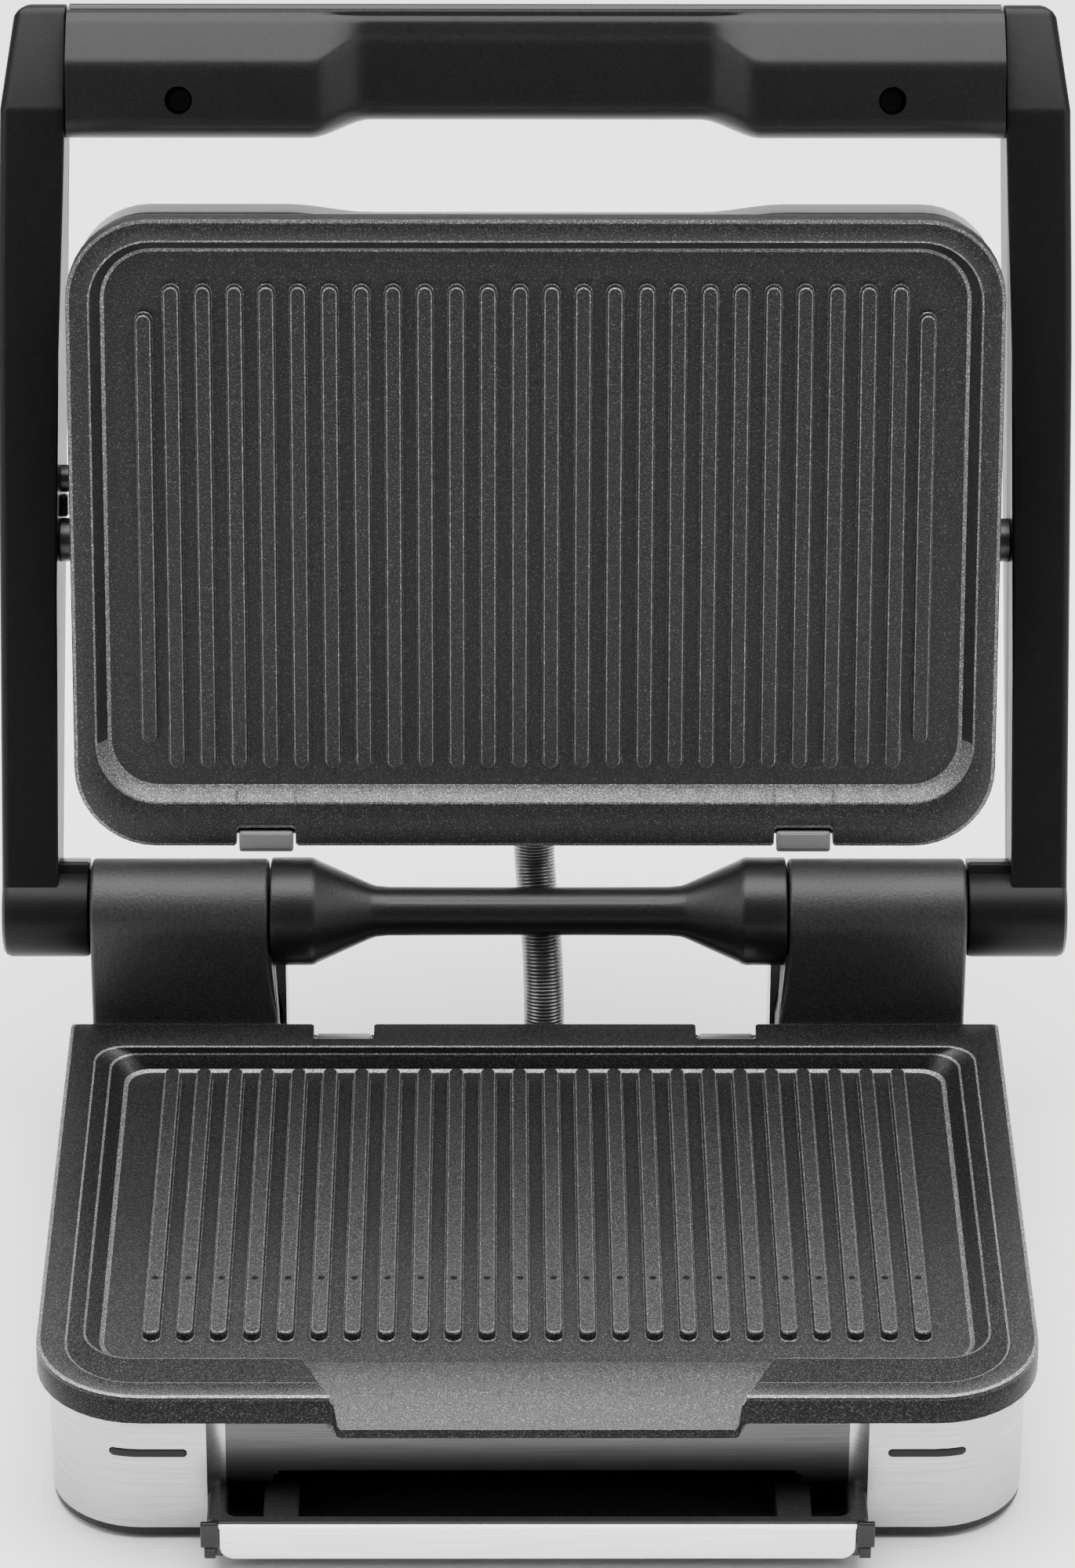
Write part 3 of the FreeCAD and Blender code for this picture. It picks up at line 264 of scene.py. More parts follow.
def make_materials():
    """One material for each slot of the record, then the ones that only the pieces drawn here use."""
    along_x = (25.0, 2600.0, 2600.0)
    return {
        "nonstick_aluminium": nonstick("nonstick", 0.0),
        # Edge strips: coating painted lighter, as painted highlights along the edges.
        "nonstick_edge_painted_highlight": nonstick("nonstick_edge_painted_highlight", 1.2),
        # Upper plate's rear slope: coating painted much lighter, as a painted highlight.
        "nonstick_slope_painted_highlight": nonstick("nonstick_slope_painted_highlight", 1.5),
        "brushed_steel": brushed("brushed_steel", 0.60, 0.30, along_x),
        "polished_steel": brushed("polished_steel", 1.0, 0.42, along_x, 0.03),
        "black_plastic": moulded("black_plastic", 0.010, 0.50, 0.5, 0.5, specular=0.3),
        "satin_black": moulded("satin_black", 0.005, 0.38, 0.3, 0.12, specular=0.13),
        "gloss_black": moulded("gloss_black", 0.008, 0.16, 0.2, 0.02, specular=0.3),
        "satin_black_metal": moulded("pin_black", 0.015, 0.32, 0.3, 0.1),
        "latch_grey": moulded("latch_grey", 0.11, 0.38, 0.08, 0.08),
        "bright_aluminium": brushed("rolled_aluminium", 0.75, 0.34, (900.0, 30.0, 900.0)),
        "element_sheath": brushed("element_sheath", 0.16, 0.45, (700.0, 700.0, 700.0), 0.3),
        "ceramic_white": moulded("ceramic_white", 0.70, 0.55, 0.05, 0.2),
        "dark_lens": moulded("dark_lens", 0.003, 0.12, 0.1, 0.01, specular=0.2),
        "lamp": moulded("lamp_glass", 0.75, 0.08, 0.03, 0.0),
        "rubber": moulded("rubber", 0.018, 0.68, 0.4, 0.5, 900.0),
        "zinc_screw": brushed("zinc", 0.55, 0.32, (500.0, 500.0, 500.0), 0.1),
        "nylon": moulded("nylon", 0.62, 0.45, 0.05, 0.1),
        "conduit_steel": brushed("conduit_steel", 0.26, 0.34, (300.0, 300.0, 300.0), 0.1),
        "shaft_steel": brushed("shaft_steel", 0.50, 0.24, (30.0, 1500.0, 1500.0)),
        "latch_silver": brushed("latch_silver", 0.72, 0.28, along_x, 0.05),
        # Channel: coating painted lighter towards the front, where it faces the light, and darker at its rear, as
        # painted light and shade.
        "nonstick_spout_painted_light": nonstick("nonstick_spout_painted_light", 0.40, 0.5, (REAR_Y + SPOUT_REAR * MM, REAR_Y - 0.200)),
        # Lower plate's coating: painted darker towards the rear, as shade under the lid.
        "nonstick_lower_painted_shade": nonstick("nonstick_lower_painted_shade", 0.05, 0.30, (REAR_Y - 0.10, REAR_Y - 0.20)),
        # Rib tops: coating painted lighter as a highlight from above, and darker at the rear as shade.
        "nonstick_rib_tops_painted_light": nonstick("nonstick_rib_tops_painted_light", 0.16, 0.40, (REAR_Y - 0.05, REAR_Y - 0.185)),
        "nonstick_wall": nonstick("nonstick_wall", 0.0, 0.10),
        "steel_sheet": brushed("steel_sheet", 0.44, 0.32, (30.0, 30.0, 1900.0), 0.12),
        # Steel painted dark as shade, for the recessed bay over the tray and the housing's lower band.
        "steel_painted_shade": brushed("steel_painted_shade", 0.09, 0.34, (30.0, 30.0, 1900.0), 0.12),
        "housing_sheet": brushed("housing_sheet", 0.45, 0.30, (25.0, 1500.0, 1500.0), 0.10),
        "tray_black": moulded("tray_black", 0.02, 0.24, 0.2, 0.05, specular=0.4),
        "sheet_edge": brushed("sheet_edge", 0.75, 0.25, (200.0, 200.0, 200.0), 0.05),
        "post_black": moulded("post_black", 0.014, 0.44, 0.5, 0.45, 1100.0, specular=0.36),
        "handle_black": moulded("handle_black", 0.009, 0.34, 0.3, 0.10, specular=0.16),
        "spindle_black": moulded("spindle_black", 0.006, 0.33, 0.4, 0.25, 1200.0, specular=0.3),
        "floor_paper": moulded("floor_paper", 0.92, 0.7, 0.01, 0.02, 200.0),
    }


# ---- mesh helpers ----
def shade(mesh, sharp):
    """Smooth shading with sharp edges above an angle in degrees; faces with many corners stay flat."""
    mesh.set_sharp_from_angle(angle=math.radians(sharp))
    mesh.polygons.foreach_set("use_smooth", [len(polygon.vertices) < 9 for polygon in mesh.polygons])


def outward_mesh(name, shape, place):
    """Mesh of a shape in frame metres, with every face turned outwards."""
    mesh = bpy.data.meshes.new(name)
    mesh.from_pydata([place @ Vector(v) for v in shape.verts], [], shape.faces)
    work = bmesh.new()
    work.from_mesh(mesh)
    bmesh.ops.recalc_face_normals(work, faces=work.faces)
    work.to_mesh(mesh)
    work.free()
    return mesh


def finish_piece(name, shape, place, body, materials, replaced, sharp=35):
    """Visible piece on its body, in place of the CAD nodes named in replaced."""
    mesh = outward_mesh(name, shape, place)
    for material in materials:
        mesh.materials.append(MATERIALS[material])
    for polygon, mark in zip(mesh.polygons, shape.marks):
        polygon.material_index = mark
    shade(mesh, sharp)
    piece = bpy.data.objects.new(name, mesh)
    bpy.context.scene.collection.objects.link(piece)
    if body:
        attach(piece, body)
    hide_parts(*replaced)
    return piece


class Shape:
    """Vertices and faces gathered from several loops; marks holds each face's material number."""

    def __init__(self):
        self.verts = []
        self.faces = []
        self.marks = []

    def loop(self, points):
        start = len(self.verts)
        self.verts.extend(points)
        return list(range(start, len(self.verts)))

    def bridge(self, one, two, mark=0, closed=True):
        count = len(one)
        for i in range(count if closed else count - 1):
            j = (i + 1) % count
            self.faces.append((one[i], one[j], two[j], two[i]))
            self.marks.append(mark)

    def cap(self, loop, mark=0):
        self.faces.append(tuple(loop))
        self.marks.append(mark)

    def skin(self, loops, marks=None, caps=(0, 0)):
        """Join the loops in turn; caps holds the mark of each end's face, or None for an open end."""
        rings = [self.loop(points) for points in loops]
        for number, (one, two) in enumerate(zip(rings, rings[1:])):
            self.bridge(one, two, marks[number] if marks else 0)
        for ring, mark in zip((rings[0], rings[-1]), caps):
            if mark is not None:
                self.cap(ring, mark)


def on_circle(u, v, radius, degrees):
    angle = math.radians(degrees)
    return u + radius * math.cos(angle), v + radius * math.sin(angle)


def corner_points(u, v, radius, start, steps):
    """Quarter circle from the start angle, in degrees."""
    return [on_circle(u, v, radius, start + 90 * step / steps) for step in range(steps + 1)]


# material numbers of the plates; the upper plate's third one is its rear slope. The edge, channel, rear-slope and
# rib-top numbers pick coatings painted lighter as highlights.
COATING, EDGE_HIGHLIGHT, SPOUT_HIGHLIGHT, DIMPLE, WALL, RIB_TOP_HIGHLIGHT = range(6)
SLOPE_HIGHLIGHT = SPOUT_HIGHLIGHT


def stadium(x, y0, y1, radius, z, steps=6):
    """Outline of a rib: two half circles joined by straight sides."""
    points = []
    for centre, start in ((y1 - radius, 0), (y0 + radius, 180)):
        points += [(*on_circle(x, centre, radius, start + 180 * step / steps), z)
                   for step in range(steps + 1)]
    return points


def add_rib(shape, x, y0, y1, floor, up, top_mark):
    """A rib with a small fillet at its foot and a rounded top."""
    profile = [(3.0, -0.1), (2.6, 0.4), (2.4, RIB_HEIGHT - 0.7), (2.2, RIB_HEIGHT - 0.2), (1.95, RIB_HEIGHT)]
    loops = []
    for radius, level in profile:
        inset = 2.6 - radius
        loops.append(stadium(x, y0 + inset, y1 - inset, radius, floor + up * level))
    # The foot fillet and the top edges take the coating painted lighter, as painted highlights.
    shape.skin(loops, (EDGE_HIGHLIGHT, COATING, EDGE_HIGHLIGHT, EDGE_HIGHLIGHT), (COATING, top_mark))


def rounded(points, steps=4):
    """Outline with rounded corners, from (u, v, radius) points."""
    done = []
    count = len(points)
    for number, (u, v, radius) in enumerate(points):
        corner = Vector((u, v))
        before = Vector(points[number - 1][:2]) - corner
        after = Vector(points[(number + 1) % count][:2]) - corner
        reach = min(radius, 0.48 * before.length, 0.48 * after.length)
        if reach < 0.01:
            done.append((u, v))
            continue
        first = corner + before.normalized() * reach
        last = corner + after.normalized() * reach
        for step in range(steps + 1):
            t = step / steps
            spot = first * (1 - t) ** 2 + corner * 2 * t * (1 - t) + last * t ** 2
            done.append((spot.x, spot.y))
    return done


def offset(points, distance):
    """Outline moved inwards by distance."""
    count = len(points)
    area = sum(points[i - 1][0] * points[i][1] - points[i][0] * points[i - 1][1] for i in range(count))
    sign = 1 if area > 0 else -1
    moved = []
    for number, (u, v) in enumerate(points):
        before = Vector((u - points[number - 1][0], v - points[number - 1][1])).normalized()
        after = points[(number + 1) % count]
        after = Vector((after[0] - u, after[1] - v)).normalized()
        normal = Vector((-before.y - after.y, before.x + after.x))
        if normal.length < 1e-6:
            normal = Vector((-before.y, before.x))
        normal.normalize()
        stretch = max(0.6, abs(normal.dot(Vector((-before.y, before.x)))))
        moved.append((u + sign * normal.x * distance / stretch, v + sign * normal.y * distance / stretch))
    return moved


ROUND = (90, 60, 30, 0)


def bar_x(shape, outline, x0, x1, bevel0, bevel1, warp=None):
    """Solid along X with rounded end edges; warp(x, y, z, end) can move each point's X."""
    stations = [(x0 + bevel0 * (1 - math.sin(math.radians(a))), bevel0 * (1 - math.cos(math.radians(a))), 0)
                for a in ROUND]
    stations += [(x1 - bevel1 * (1 - math.sin(math.radians(a))), bevel1 * (1 - math.cos(math.radians(a))), 1)
                 for a in reversed(ROUND)]
    loops = []
    for x, inset, end in stations:
        ring = offset(outline, inset) if inset else outline
        loops.append([((warp(x, y, z, end) if warp else x), y, z) for y, z in ring])
    shape.skin(loops)


def lathe_x(shape, profile, y, z, segments=64, ripple=None):
    """Turned solid about an axis along X, from (x, radius) pairs; ripple(x, k) scales the radius."""
    loops = []
    for x, radius in profile:
        ring = []
        for k in range(segments):
            r = radius * (ripple(x, k) if ripple else 1.0)
            ring.append((x, *on_circle(y, z, r, 360 * k / segments)))
        loops.append(ring)
    shape.skin(loops)


def bevelled_box(shape, low, high, bevel):
    """Box with rounded edges on every side."""
    (x0, y0, z0), (x1, y1, z1) = low, high
    outline = rounded([(y0, z0, bevel), (y1, z0, bevel), (y1, z1, bevel), (y0, z1, bevel)], 3)
    bar_x(shape, outline, x0, x1, bevel * 0.7, bevel * 0.7)


def catmull(points, per_span):
    """Smooth line through the points."""
    ends = [points[0] * 2 - points[1]] + points + [points[-1] * 2 - points[-2]]
    line = []
    for a, b, c, d in zip(ends, ends[1:], ends[2:], ends[3:]):
        for step in range(per_span):
            t = step / per_span
            line.append(0.5 * (2 * b + (c - a) * t + (2 * a - 5 * b + 4 * c - d) * t ** 2
                               + (3 * b - a - 3 * c + d) * t ** 3))
    return line + [points[-1]]


# ---- grill plates ----
def plate_loop(half, y_front, y_rear, r_front, r_rear, z, front=(), rear=(), steps=10):
    """Rounded rectangle with extra front and rear points, each (x, forward shift, height shift)."""
    def corner(x, y, radius, start):
        return [(u, v, z) for u, v in corner_points(x, y, radius, start, steps)]

    return (corner(half - r_rear, y_rear - r_rear, r_rear, 0)
            + [(x, y_rear + dy, z + dz) for x, dy, dz in rear]
            + corner(-half + r_rear, y_rear - r_rear, r_rear, 90)
            + corner(-half + r_front, y_front + r_front, r_front, 180)
            + [(x, y_front + dy, z + dz) for x, dy, dz in front]
            + corner(half - r_front, y_front + r_front, r_front, 270))


def notch_points(centre, half, depth, fillet=0.8):
    """Rear-edge points, from right to left, round two notches at x = +centre and -centre."""
    points = []
    for middle in (centre, -centre):
        right = [(half + fillet, 0), (half, -fillet), (half, -depth + fillet), (half - fillet, -depth)]
        points += [(middle + x, y, 0) for x, y in right]
        points += [(middle - x, y, 0) for x, y in reversed(right)]
    return points


def flat_points(points):
    return [(x, 0, 0) for x, _, _ in points]


LOWER_HALF, LOWER_FRONT, LOWER_POCKET = 148.5, -211.0, 7.4
UPPER_HALF, UPPER_FRONT, UPPER_POCKET = 147.0, -205.0, 6.0
UPPER_RIM = RIM + 2.0
UPPER_PLATE_T = 8.6
RIB_COUNT, LOWER_PITCH, UPPER_PITCH = 24, 10.0, 9.93
RIB_HEIGHT = 3.2
LOWER_RIB_Y, UPPER_RIB_Y, END_RIB_Y = (-171.0, -20.5), (-183.0, -25.2), (-174.0, -33.6)
END_RIB_X = 122.9
SLOPE_FRONT, SLOPE_REAR, SLOPE_HIGH = -37.0, -14.6, 5.5
DIMPLE_Y = -141.4
LOWER_LATCH_X, UPPER_LATCH_X = 61.0, 86.0
SPOUT_REAR, SPOUT_LIP = -176.0, -215.0
SPOUT_HALF, SPOUT_FLARE = 57.5, 13.5
SPOUT_Z, LIP_Z = -7.4, -9.0          # below the rim
SPOUT_BEND, SPOUT_RUN = -190.0, 25.0


def spout_half(y):
    """Half width of the pouring channel at Y."""
    return SPOUT_HALF + SPOUT_FLARE * (y - SPOUT_LIP) / (SPOUT_REAR - SPOUT_LIP)


def spout_floor(y):
    """Height of the channel's floor at Y."""
    return SPOUT_Z + (LIP_Z - SPOUT_Z) * min(1.0, max(0.0, (SPOUT_BEND - y) / SPOUT_RUN))


def spout_points(y_edge, level, y_inside, z_inside):
    """Front-edge points, left to right: rim, wall of the channel, channel, wall, rim."""
    half = spout_half(max(y_inside, SPOUT_LIP))
    side = [(half + 14.0, 0.0), (half + 3.4, 0.0), (half + 2.3, 0.12), (half + 1.0, 0.9), (half, 1.0),
            (half - 4, 1.0), (half * 0.6, 1.0), (half * 0.25, 1.0)]
    left = [(-x, share) for x, share in side]
    points = []
    for x, share in left + [(x, share) for x, share in reversed(side)]:
        points.append((x, share * (y_inside - y_edge), share * (z_inside - level)))
    return points


def in_spout(corners, margin, y_limit):
    """True if all the corners lie in the channel, widened by a margin, in front of a Y."""
    return all(abs(x) < spout_half(max(y, SPOUT_LIP)) + margin and y < y_limit for x, y, _ in corners)


def lower_plate():
    """Cast plate with its pocket, pouring spout, notches, ribs and the dimples on the ribs."""
    # side, front and rear inset; height; corner radii; mark below; spout's y and z at this loop
    levels = [
        (1.2, 1.2, 0.6, -10.0, 31, 1.0, COATING, -206.6, -12.0),
        (0.0, 0.0, 0.0, -9.2, 32, 1.2, EDGE_HIGHLIGHT, -214.4, -12.0),
        (0.0, 0.0, 0.0, -1.3, 32, 1.2, WALL, -215.0, -11.5),
        (0.35, 0.35, 0.35, -0.35, 31.8, 1.4, COATING, -215.0, -9.5),
        (1.3, 1.3, 1.0, 0.0, 31, 2.0, EDGE_HIGHLIGHT, -214.5, -9.0),
        (8.7, 7.5, 14.3, 0.0, 22, 9.0, COATING, None, None),
        (9.3, 8.1, 14.9, -0.2, 21.5, 9.0, EDGE_HIGHLIGHT, None, None),
        (13.6, 23.4, 15.3, -2.2, 15, 8.6, COATING, None, None),
        (14.3, 24.4, 15.6, -2.6, 14.5, 8.6, EDGE_HIGHLIGHT, None, None),
        (18.2, 27.6, 17.4, -6.8, 12, 8.0, COATING, None, None),
        (19.6, 29.2, 18.6, -7.4, 11, 7.4, EDGE_HIGHLIGHT, None, None),
    ]
    notch = notch_points(LOWER_LATCH_X, 9.6, 9.0)
    loops = []
    for number, (side, front, rear, level, r_front, r_rear, _, y_spout, z_spout) in enumerate(levels):
        y_edge = LOWER_FRONT + front
        if y_spout is None:
            y_spout, z_spout = y_edge, spout_floor(y_edge)
        lip = spout_points(y_edge, level, y_spout, z_spout)
        back = notch if number < 5 else flat_points(notch)
        loops.append(plate_loop(LOWER_HALF - side, y_edge, -rear, r_front, r_rear, RIM + level, lip, back))
    shape = Shape()
    shape.skin(loops, [row[6] for row in levels[1:]])
    # Channel faces take the coating painted lighter as a highlight; the faces beside it the edge highlight above
    # the lip and the wall coating below it.
    for number, face in enumerate(shape.faces):
        corners = [shape.verts[v] for v in face]
        above_lip = all(z > RIM + LIP_Z - 0.4 for _, _, z in corners)
        if above_lip and in_spout(corners, 0.3, -181.0):
            shape.marks[number] = SPOUT_HIGHLIGHT
        elif in_spout(corners, 2.5, -182.5):
            shape.marks[number] = EDGE_HIGHLIGHT if above_lip else WALL
    floor = RIM - LOWER_POCKET
    for number in range(RIB_COUNT):
        x = (number - (RIB_COUNT - 1) / 2) * LOWER_PITCH
        # The rib tops take the coating painted lighter, as a highlight from above.
        add_rib(shape, x, *LOWER_RIB_Y, floor, 1, RIB_TOP_HIGHLIGHT)
        dimple = []
        for radius, level in ((1.05, 0.01), (0.8, 0.04), (0.3, -0.02)):
            z = floor + RIB_HEIGHT + level
            dimple.append([(*on_circle(x, DIMPLE_Y, radius, a), z) for a in range(0, 360, 30)])
        shape.skin(dimple, (DIMPLE, DIMPLE), (DIMPLE, DIMPLE))
    # The pocket's coating is painted darker towards the rear as shade; edges, channel and rib tops lighter as
    # highlights.
    finish_piece("lower_plate_cast", shape, BASE, "lower_plate",
                 ["nonstick_lower_painted_shade", "nonstick_edge_painted_highlight", "nonstick_spout_painted_light",
                  "gloss_black", "nonstick_wall", "nonstick_rib_tops_painted_light"],
                 ("lower_grill_plate",), sharp=28)


def upper_plate():
    """Cast plate with its pocket, notches and ribs, drawn face down."""
    # side, front and rear inset; height above the rim; corner radius; mark below
    levels = [
        (1.2, 1.2, 1.2, UPPER_PLATE_T, 25, COATING), (0.0, 0.0, 0.0, UPPER_PLATE_T - 0.8, 26, EDGE_HIGHLIGHT),
        (0.0, 0.0, 0.0, 1.2, 26, COATING), (0.35, 0.35, 0.35, 0.35, 25.7, COATING),
        (1.3, 1.3, 1.3, 0.0, 25, EDGE_HIGHLIGHT), (6.9, 6.8, 14.4, 0.0, 20, COATING),
        (7.5, 7.4, 15.0, 0.25, 19.4, EDGE_HIGHLIGHT), (10.6, 10.4, 18.0, 5.4, 16.4, COATING),
        (11.8, 11.6, 19.2, UPPER_POCKET, 15.2, EDGE_HIGHLIGHT),
    ]
    notch = notch_points(UPPER_LATCH_X, 9.4, 6.0)
    loops = []
    for number, (side, front, rear, level, radius, _) in enumerate(levels):
        back = notch if number < 5 else flat_points(notch)
        loops.append(plate_loop(UPPER_HALF - side, UPPER_FRONT + front, -rear, radius, radius,
                                UPPER_RIM + level, rear=back))
    shape = Shape()
    shape.skin(loops, [row[5] for row in levels[1:]])
    # Faces of the rear slope take the coating painted lighter, as a highlight where light falls on them.
    for number, face in enumerate(shape.faces):
        corners = [shape.verts[v] for v in face]
        within = [SLOPE_FRONT < y < SLOPE_REAR and 0 < z - UPPER_RIM < SLOPE_HIGH for _, y, z in corners]
        if len(face) == 4 and all(within):
            shape.marks[number] = SLOPE_HIGHLIGHT
    floor = UPPER_RIM + UPPER_POCKET
    for number in range(RIB_COUNT):
        x = (number - (RIB_COUNT - 1) / 2) * UPPER_PITCH
        add_rib(shape, x, *UPPER_RIB_Y, floor, -1, COATING)
    for x in (-END_RIB_X, END_RIB_X):
        add_rib(shape, x, *END_RIB_Y, floor, -1, COATING)
    finish_piece("upper_plate_cast", shape, HOUSING, "upper_plate",
                 ["nonstick_aluminium", "nonstick_edge_painted_highlight", "nonstick_slope_painted_highlight"],
                 ("upper_grill_plate",), sharp=28)


def latches():
    """Two sprung latches behind each plate: a key on top, a stem and a nose."""
    for side, name in ((-1, "left"), (1, "right")):
        x = side * LOWER_LATCH_X
        low = Shape()
        bevelled_box(low, (x - 8.7, -8.0, RIM - 7.3), (x + 8.7, -1.6, RIM - 3.0), 1.0)
        bevelled_box(low, (x - 8.3, -6.6, RIM - 3.1), (x + 8.3, -2.4, RIM - 2.5), 0.3)
        bevelled_box(low, (x - 6.0, -4.6, 38.6), (x + 6.0, -1.6, RIM - 7.2), 0.4)
        bevelled_box(low, (x - 6.0, -8.6, 36.4), (x + 6.0, -1.6, 38.7), 0.4)
        finish_piece("lower_latch_lever_" + name, low, BASE, "lower_latch_" + name[0],
                     ["latch_silver"], ("lower_latch_" + name,), sharp=40)
        x = side * UPPER_LATCH_X
        z = UPPER_RIM
        high = Shape()
        bevelled_box(high, (x - 8.7, -5.2, z - 0.2), (x + 8.7, 1.8, z + 3.3), 1.3)
        bevelled_box(high, (x - 7.6, -4.4, z - 0.4), (x + 7.6, 0.6, z + 0.4), 0.4)
        bevelled_box(high, (x - 6.0, -2.2, z + 3.2), (x + 6.0, 1.8, z + 13.2), 0.4)
        bevelled_box(high, (x - 6.0, -8.6, z + 13.2), (x + 6.0, 1.8, z + 15.2), 0.4)
        finish_piece("upper_latch_lever_" + name, high, HOUSING, "upper_latch_" + name[0],
                     ["latch_grey"], ("upper_latch_" + name,), sharp=40)


# ---- base ----
BASE_HALF, BASE_FRONT, BASE_REAR, BASE_CORNER = 145.0, -205.5, 8.0, 28.0
BAY_HALF, BAY_DEPTH, BAY_STRIP = 97.5, 4.0, 5.5
BAY_FLAT = BAY_HALF - BAY_STRIP
SKIRT_LOW, SKIRT_TOP = 4.4, 44.0
OPENING_TOP = 17.9                    # upper edge of the tray's opening beside its mouth
MOUTH_HALF, MOUTH_TOP, MOUTH_CORNER = 78.0, 22.0, 1.5
SHEET_T = 1.2
# the third number is the recessed bay's steel, painted dark as shade
SHEET, CUT_EDGE, BAY_SHADE = range(3)
WINDOW_X, WINDOW_LONG, WINDOW_Z, WINDOW_HALF_HIGH = -126.2, 23.0, 31.0, 1.35


def base_outline(inset):
    """Points round the base, from the rear left over the front to the rear right."""
    half = BASE_HALF - inset
    front = BASE_FRONT + inset
    radius = BASE_CORNER - inset
    left = [(-half, BASE_REAR)] + [(-half, front + radius + (BASE_REAR - front - radius) * (1 - k / 6))
                                   for k in range(1, 6)]
    left += corner_points(-half + radius, front + radius, radius, 180, 12)
    left.append((-100.0, front))
    left += [(-BAY_HALF + BAY_STRIP * k / 6, front + BAY_DEPTH * math.sin(math.pi / 2 * k / 6))
             for k in range(7)]
    left += [(x, front + BAY_DEPTH) for x in (-MOUTH_HALF, MOUTH_CORNER - MOUTH_HALF, -40.0)]
    return left + [(-x, y) for x, y in reversed(left)]


def base_sheet():
    """Steel skirt round the base, open at the front where the tray slides in."""
    shape = Shape()
    heights = [SKIRT_LOW, OPENING_TOP, 20.6, MOUTH_TOP, 30.0, 42.6, 43.6, SKIRT_TOP]
    insets = [0, 0, 0, 0, 0, 0, 0.3, 1.4]
    outlines = [base_outline(inset) for inset in insets]
    rings = [shape.loop([(x, y, z) for x, y in points]) for points, z in zip(outlines, heights)]
    # half width of the opening in each of the lowest three rows
    open_halves = (BAY_FLAT, MOUTH_HALF, MOUTH_HALF - MOUTH_CORNER)
    margin = 0.1
    columns = len(outlines[0]) - 1
    for row in range(len(rings) - 1):
        for i in range(columns):
            reach = max(abs(outlines[row][i][0]), abs(outlines[row][i + 1][0]))
            if row < len(open_halves) and reach <= open_halves[row] + margin:
                continue
            shape.faces.append((rings[row][i], rings[row][i + 1], rings[row + 1][i + 1], rings[row + 1][i]))
            # Faces of the recessed bay take the steel painted dark as shade.
            shape.marks.append(BAY_SHADE if reach <= BAY_FLAT + margin and row < 5 else SHEET)
    # the sheet's thickness along its lower edge and round the opening
    inner = [shape.loop([(x, y, z) for x, y in base_outline(SHEET_T)]) for z in heights[:4]]
    for i in range(columns):
        reach = max(abs(outlines[0][i][0]), abs(outlines[0][i + 1][0]))
        row = sum(reach <= half + margin for half in open_halves)
        shape.faces.append((rings[row][i], rings[row][i + 1], inner[row][i + 1], inner[row][i]))
        shape.marks.append(CUT_EDGE)
    top = shape.loop([(x, y, SKIRT_TOP) for x, y in base_outline(4.0)])
    shape.bridge(rings[-1], top, SHEET, closed=False)
    shape.cap(top, SHEET)
    finish_piece("base_steel_skirt", shape, BASE, "base",
                 ["steel_sheet", "sheet_edge", "steel_painted_shade"], ("base_shell",))


def indicator_windows():
    """Stadium-shaped smoked windows that follow the rounded corner."""
    steps = 40
    xs = [WINDOW_X + WINDOW_LONG * (k / steps) for k in range(steps + 1)]
    bend = BASE_HALF - BASE_CORNER
    path = [(x, BASE_FRONT + BASE_CORNER - math.sqrt(BASE_CORNER ** 2 - min(0, x + bend) ** 2)) for x in xs]
    for side, name in ((-1, "left"), (1, "right")):
        shape = Shape()
        loops = []
        for x, y in path:
            ends = min(x - WINDOW_X, WINDOW_X + WINDOW_LONG - x) + 0.1
            grow = WINDOW_HALF_HIGH * math.sqrt(max(0.02, 1 - (1 - min(1, ends / WINDOW_HALF_HIGH)) ** 2))
            half = [(y + 1.2, grow), (y - 0.12, grow), (y - 0.32, grow * 0.6)]
            loops.append([(-side * x, v, WINDOW_Z - h) for v, h in half]
                         + [(-side * x, v, WINDOW_Z + h) for v, h in reversed(half)])
        shape.skin(loops)
        finish_piece("indicator_window_" + name, shape, BASE, "base", ["dark_lens"],
                     ("indicator_lens_" + name,), sharp=50)


POST_R, POST_REAR, POST_IN, POST_OUT = 17.0, 41.4, 85.2, 142.0
POST_FOOT_IN = 3.6                    # how much nearer the middle the post's foot stands
POST_SHOULDER = 14.0                  # below the hinge; the post widens from here down


def hinge_posts():
    """Posts with a round top about the hinge and an inner side that widens towards the foot."""
    front = HINGE_Y - POST_R
    outline = [(BASE_REAR + 0.1, SKIRT_LOW), (BASE_REAR + 0.1, SKIRT_TOP + 0.7), (0.8, SKIRT_TOP + 0.7)]
    outline += [(0.8 + 6.6 * math.sin(math.radians(a)), 51.4 - 6.7 * math.cos(math.radians(a)))
                for a in range(15, 91, 15)]
    outline += [(front, 60.0), (front, 70.0)]
    outline += [on_circle(HINGE_Y, HINGE_Z, POST_R, 180 - a) for a in range(0, 181, 7)]
    outline += [(POST_REAR, z) for z in (70.0, 60.0, SKIRT_TOP, SKIRT_LOW)]
    for side, name in ((-1, "left"), (1, "right")):
        def inner_side(x, y, z, end):
            shoulder = HINGE_Z - POST_SHOULDER
            if end == 0 and z < shoulder:
                x -= POST_FOOT_IN * min(1.0, (shoulder - z) / (shoulder - SKIRT_TOP))
            return x * side + (RIGHT_STEP if side > 0 else 0.0)

        shape = Shape()
        bar_x(shape, outline, POST_IN, POST_OUT, 1.3, 1.3, inner_side)
        finish_piece("hinge_post_" + name + "_moulding", shape, BASE, "base",
                     ["post_black"], ("hinge_post_" + name,), sharp=50)


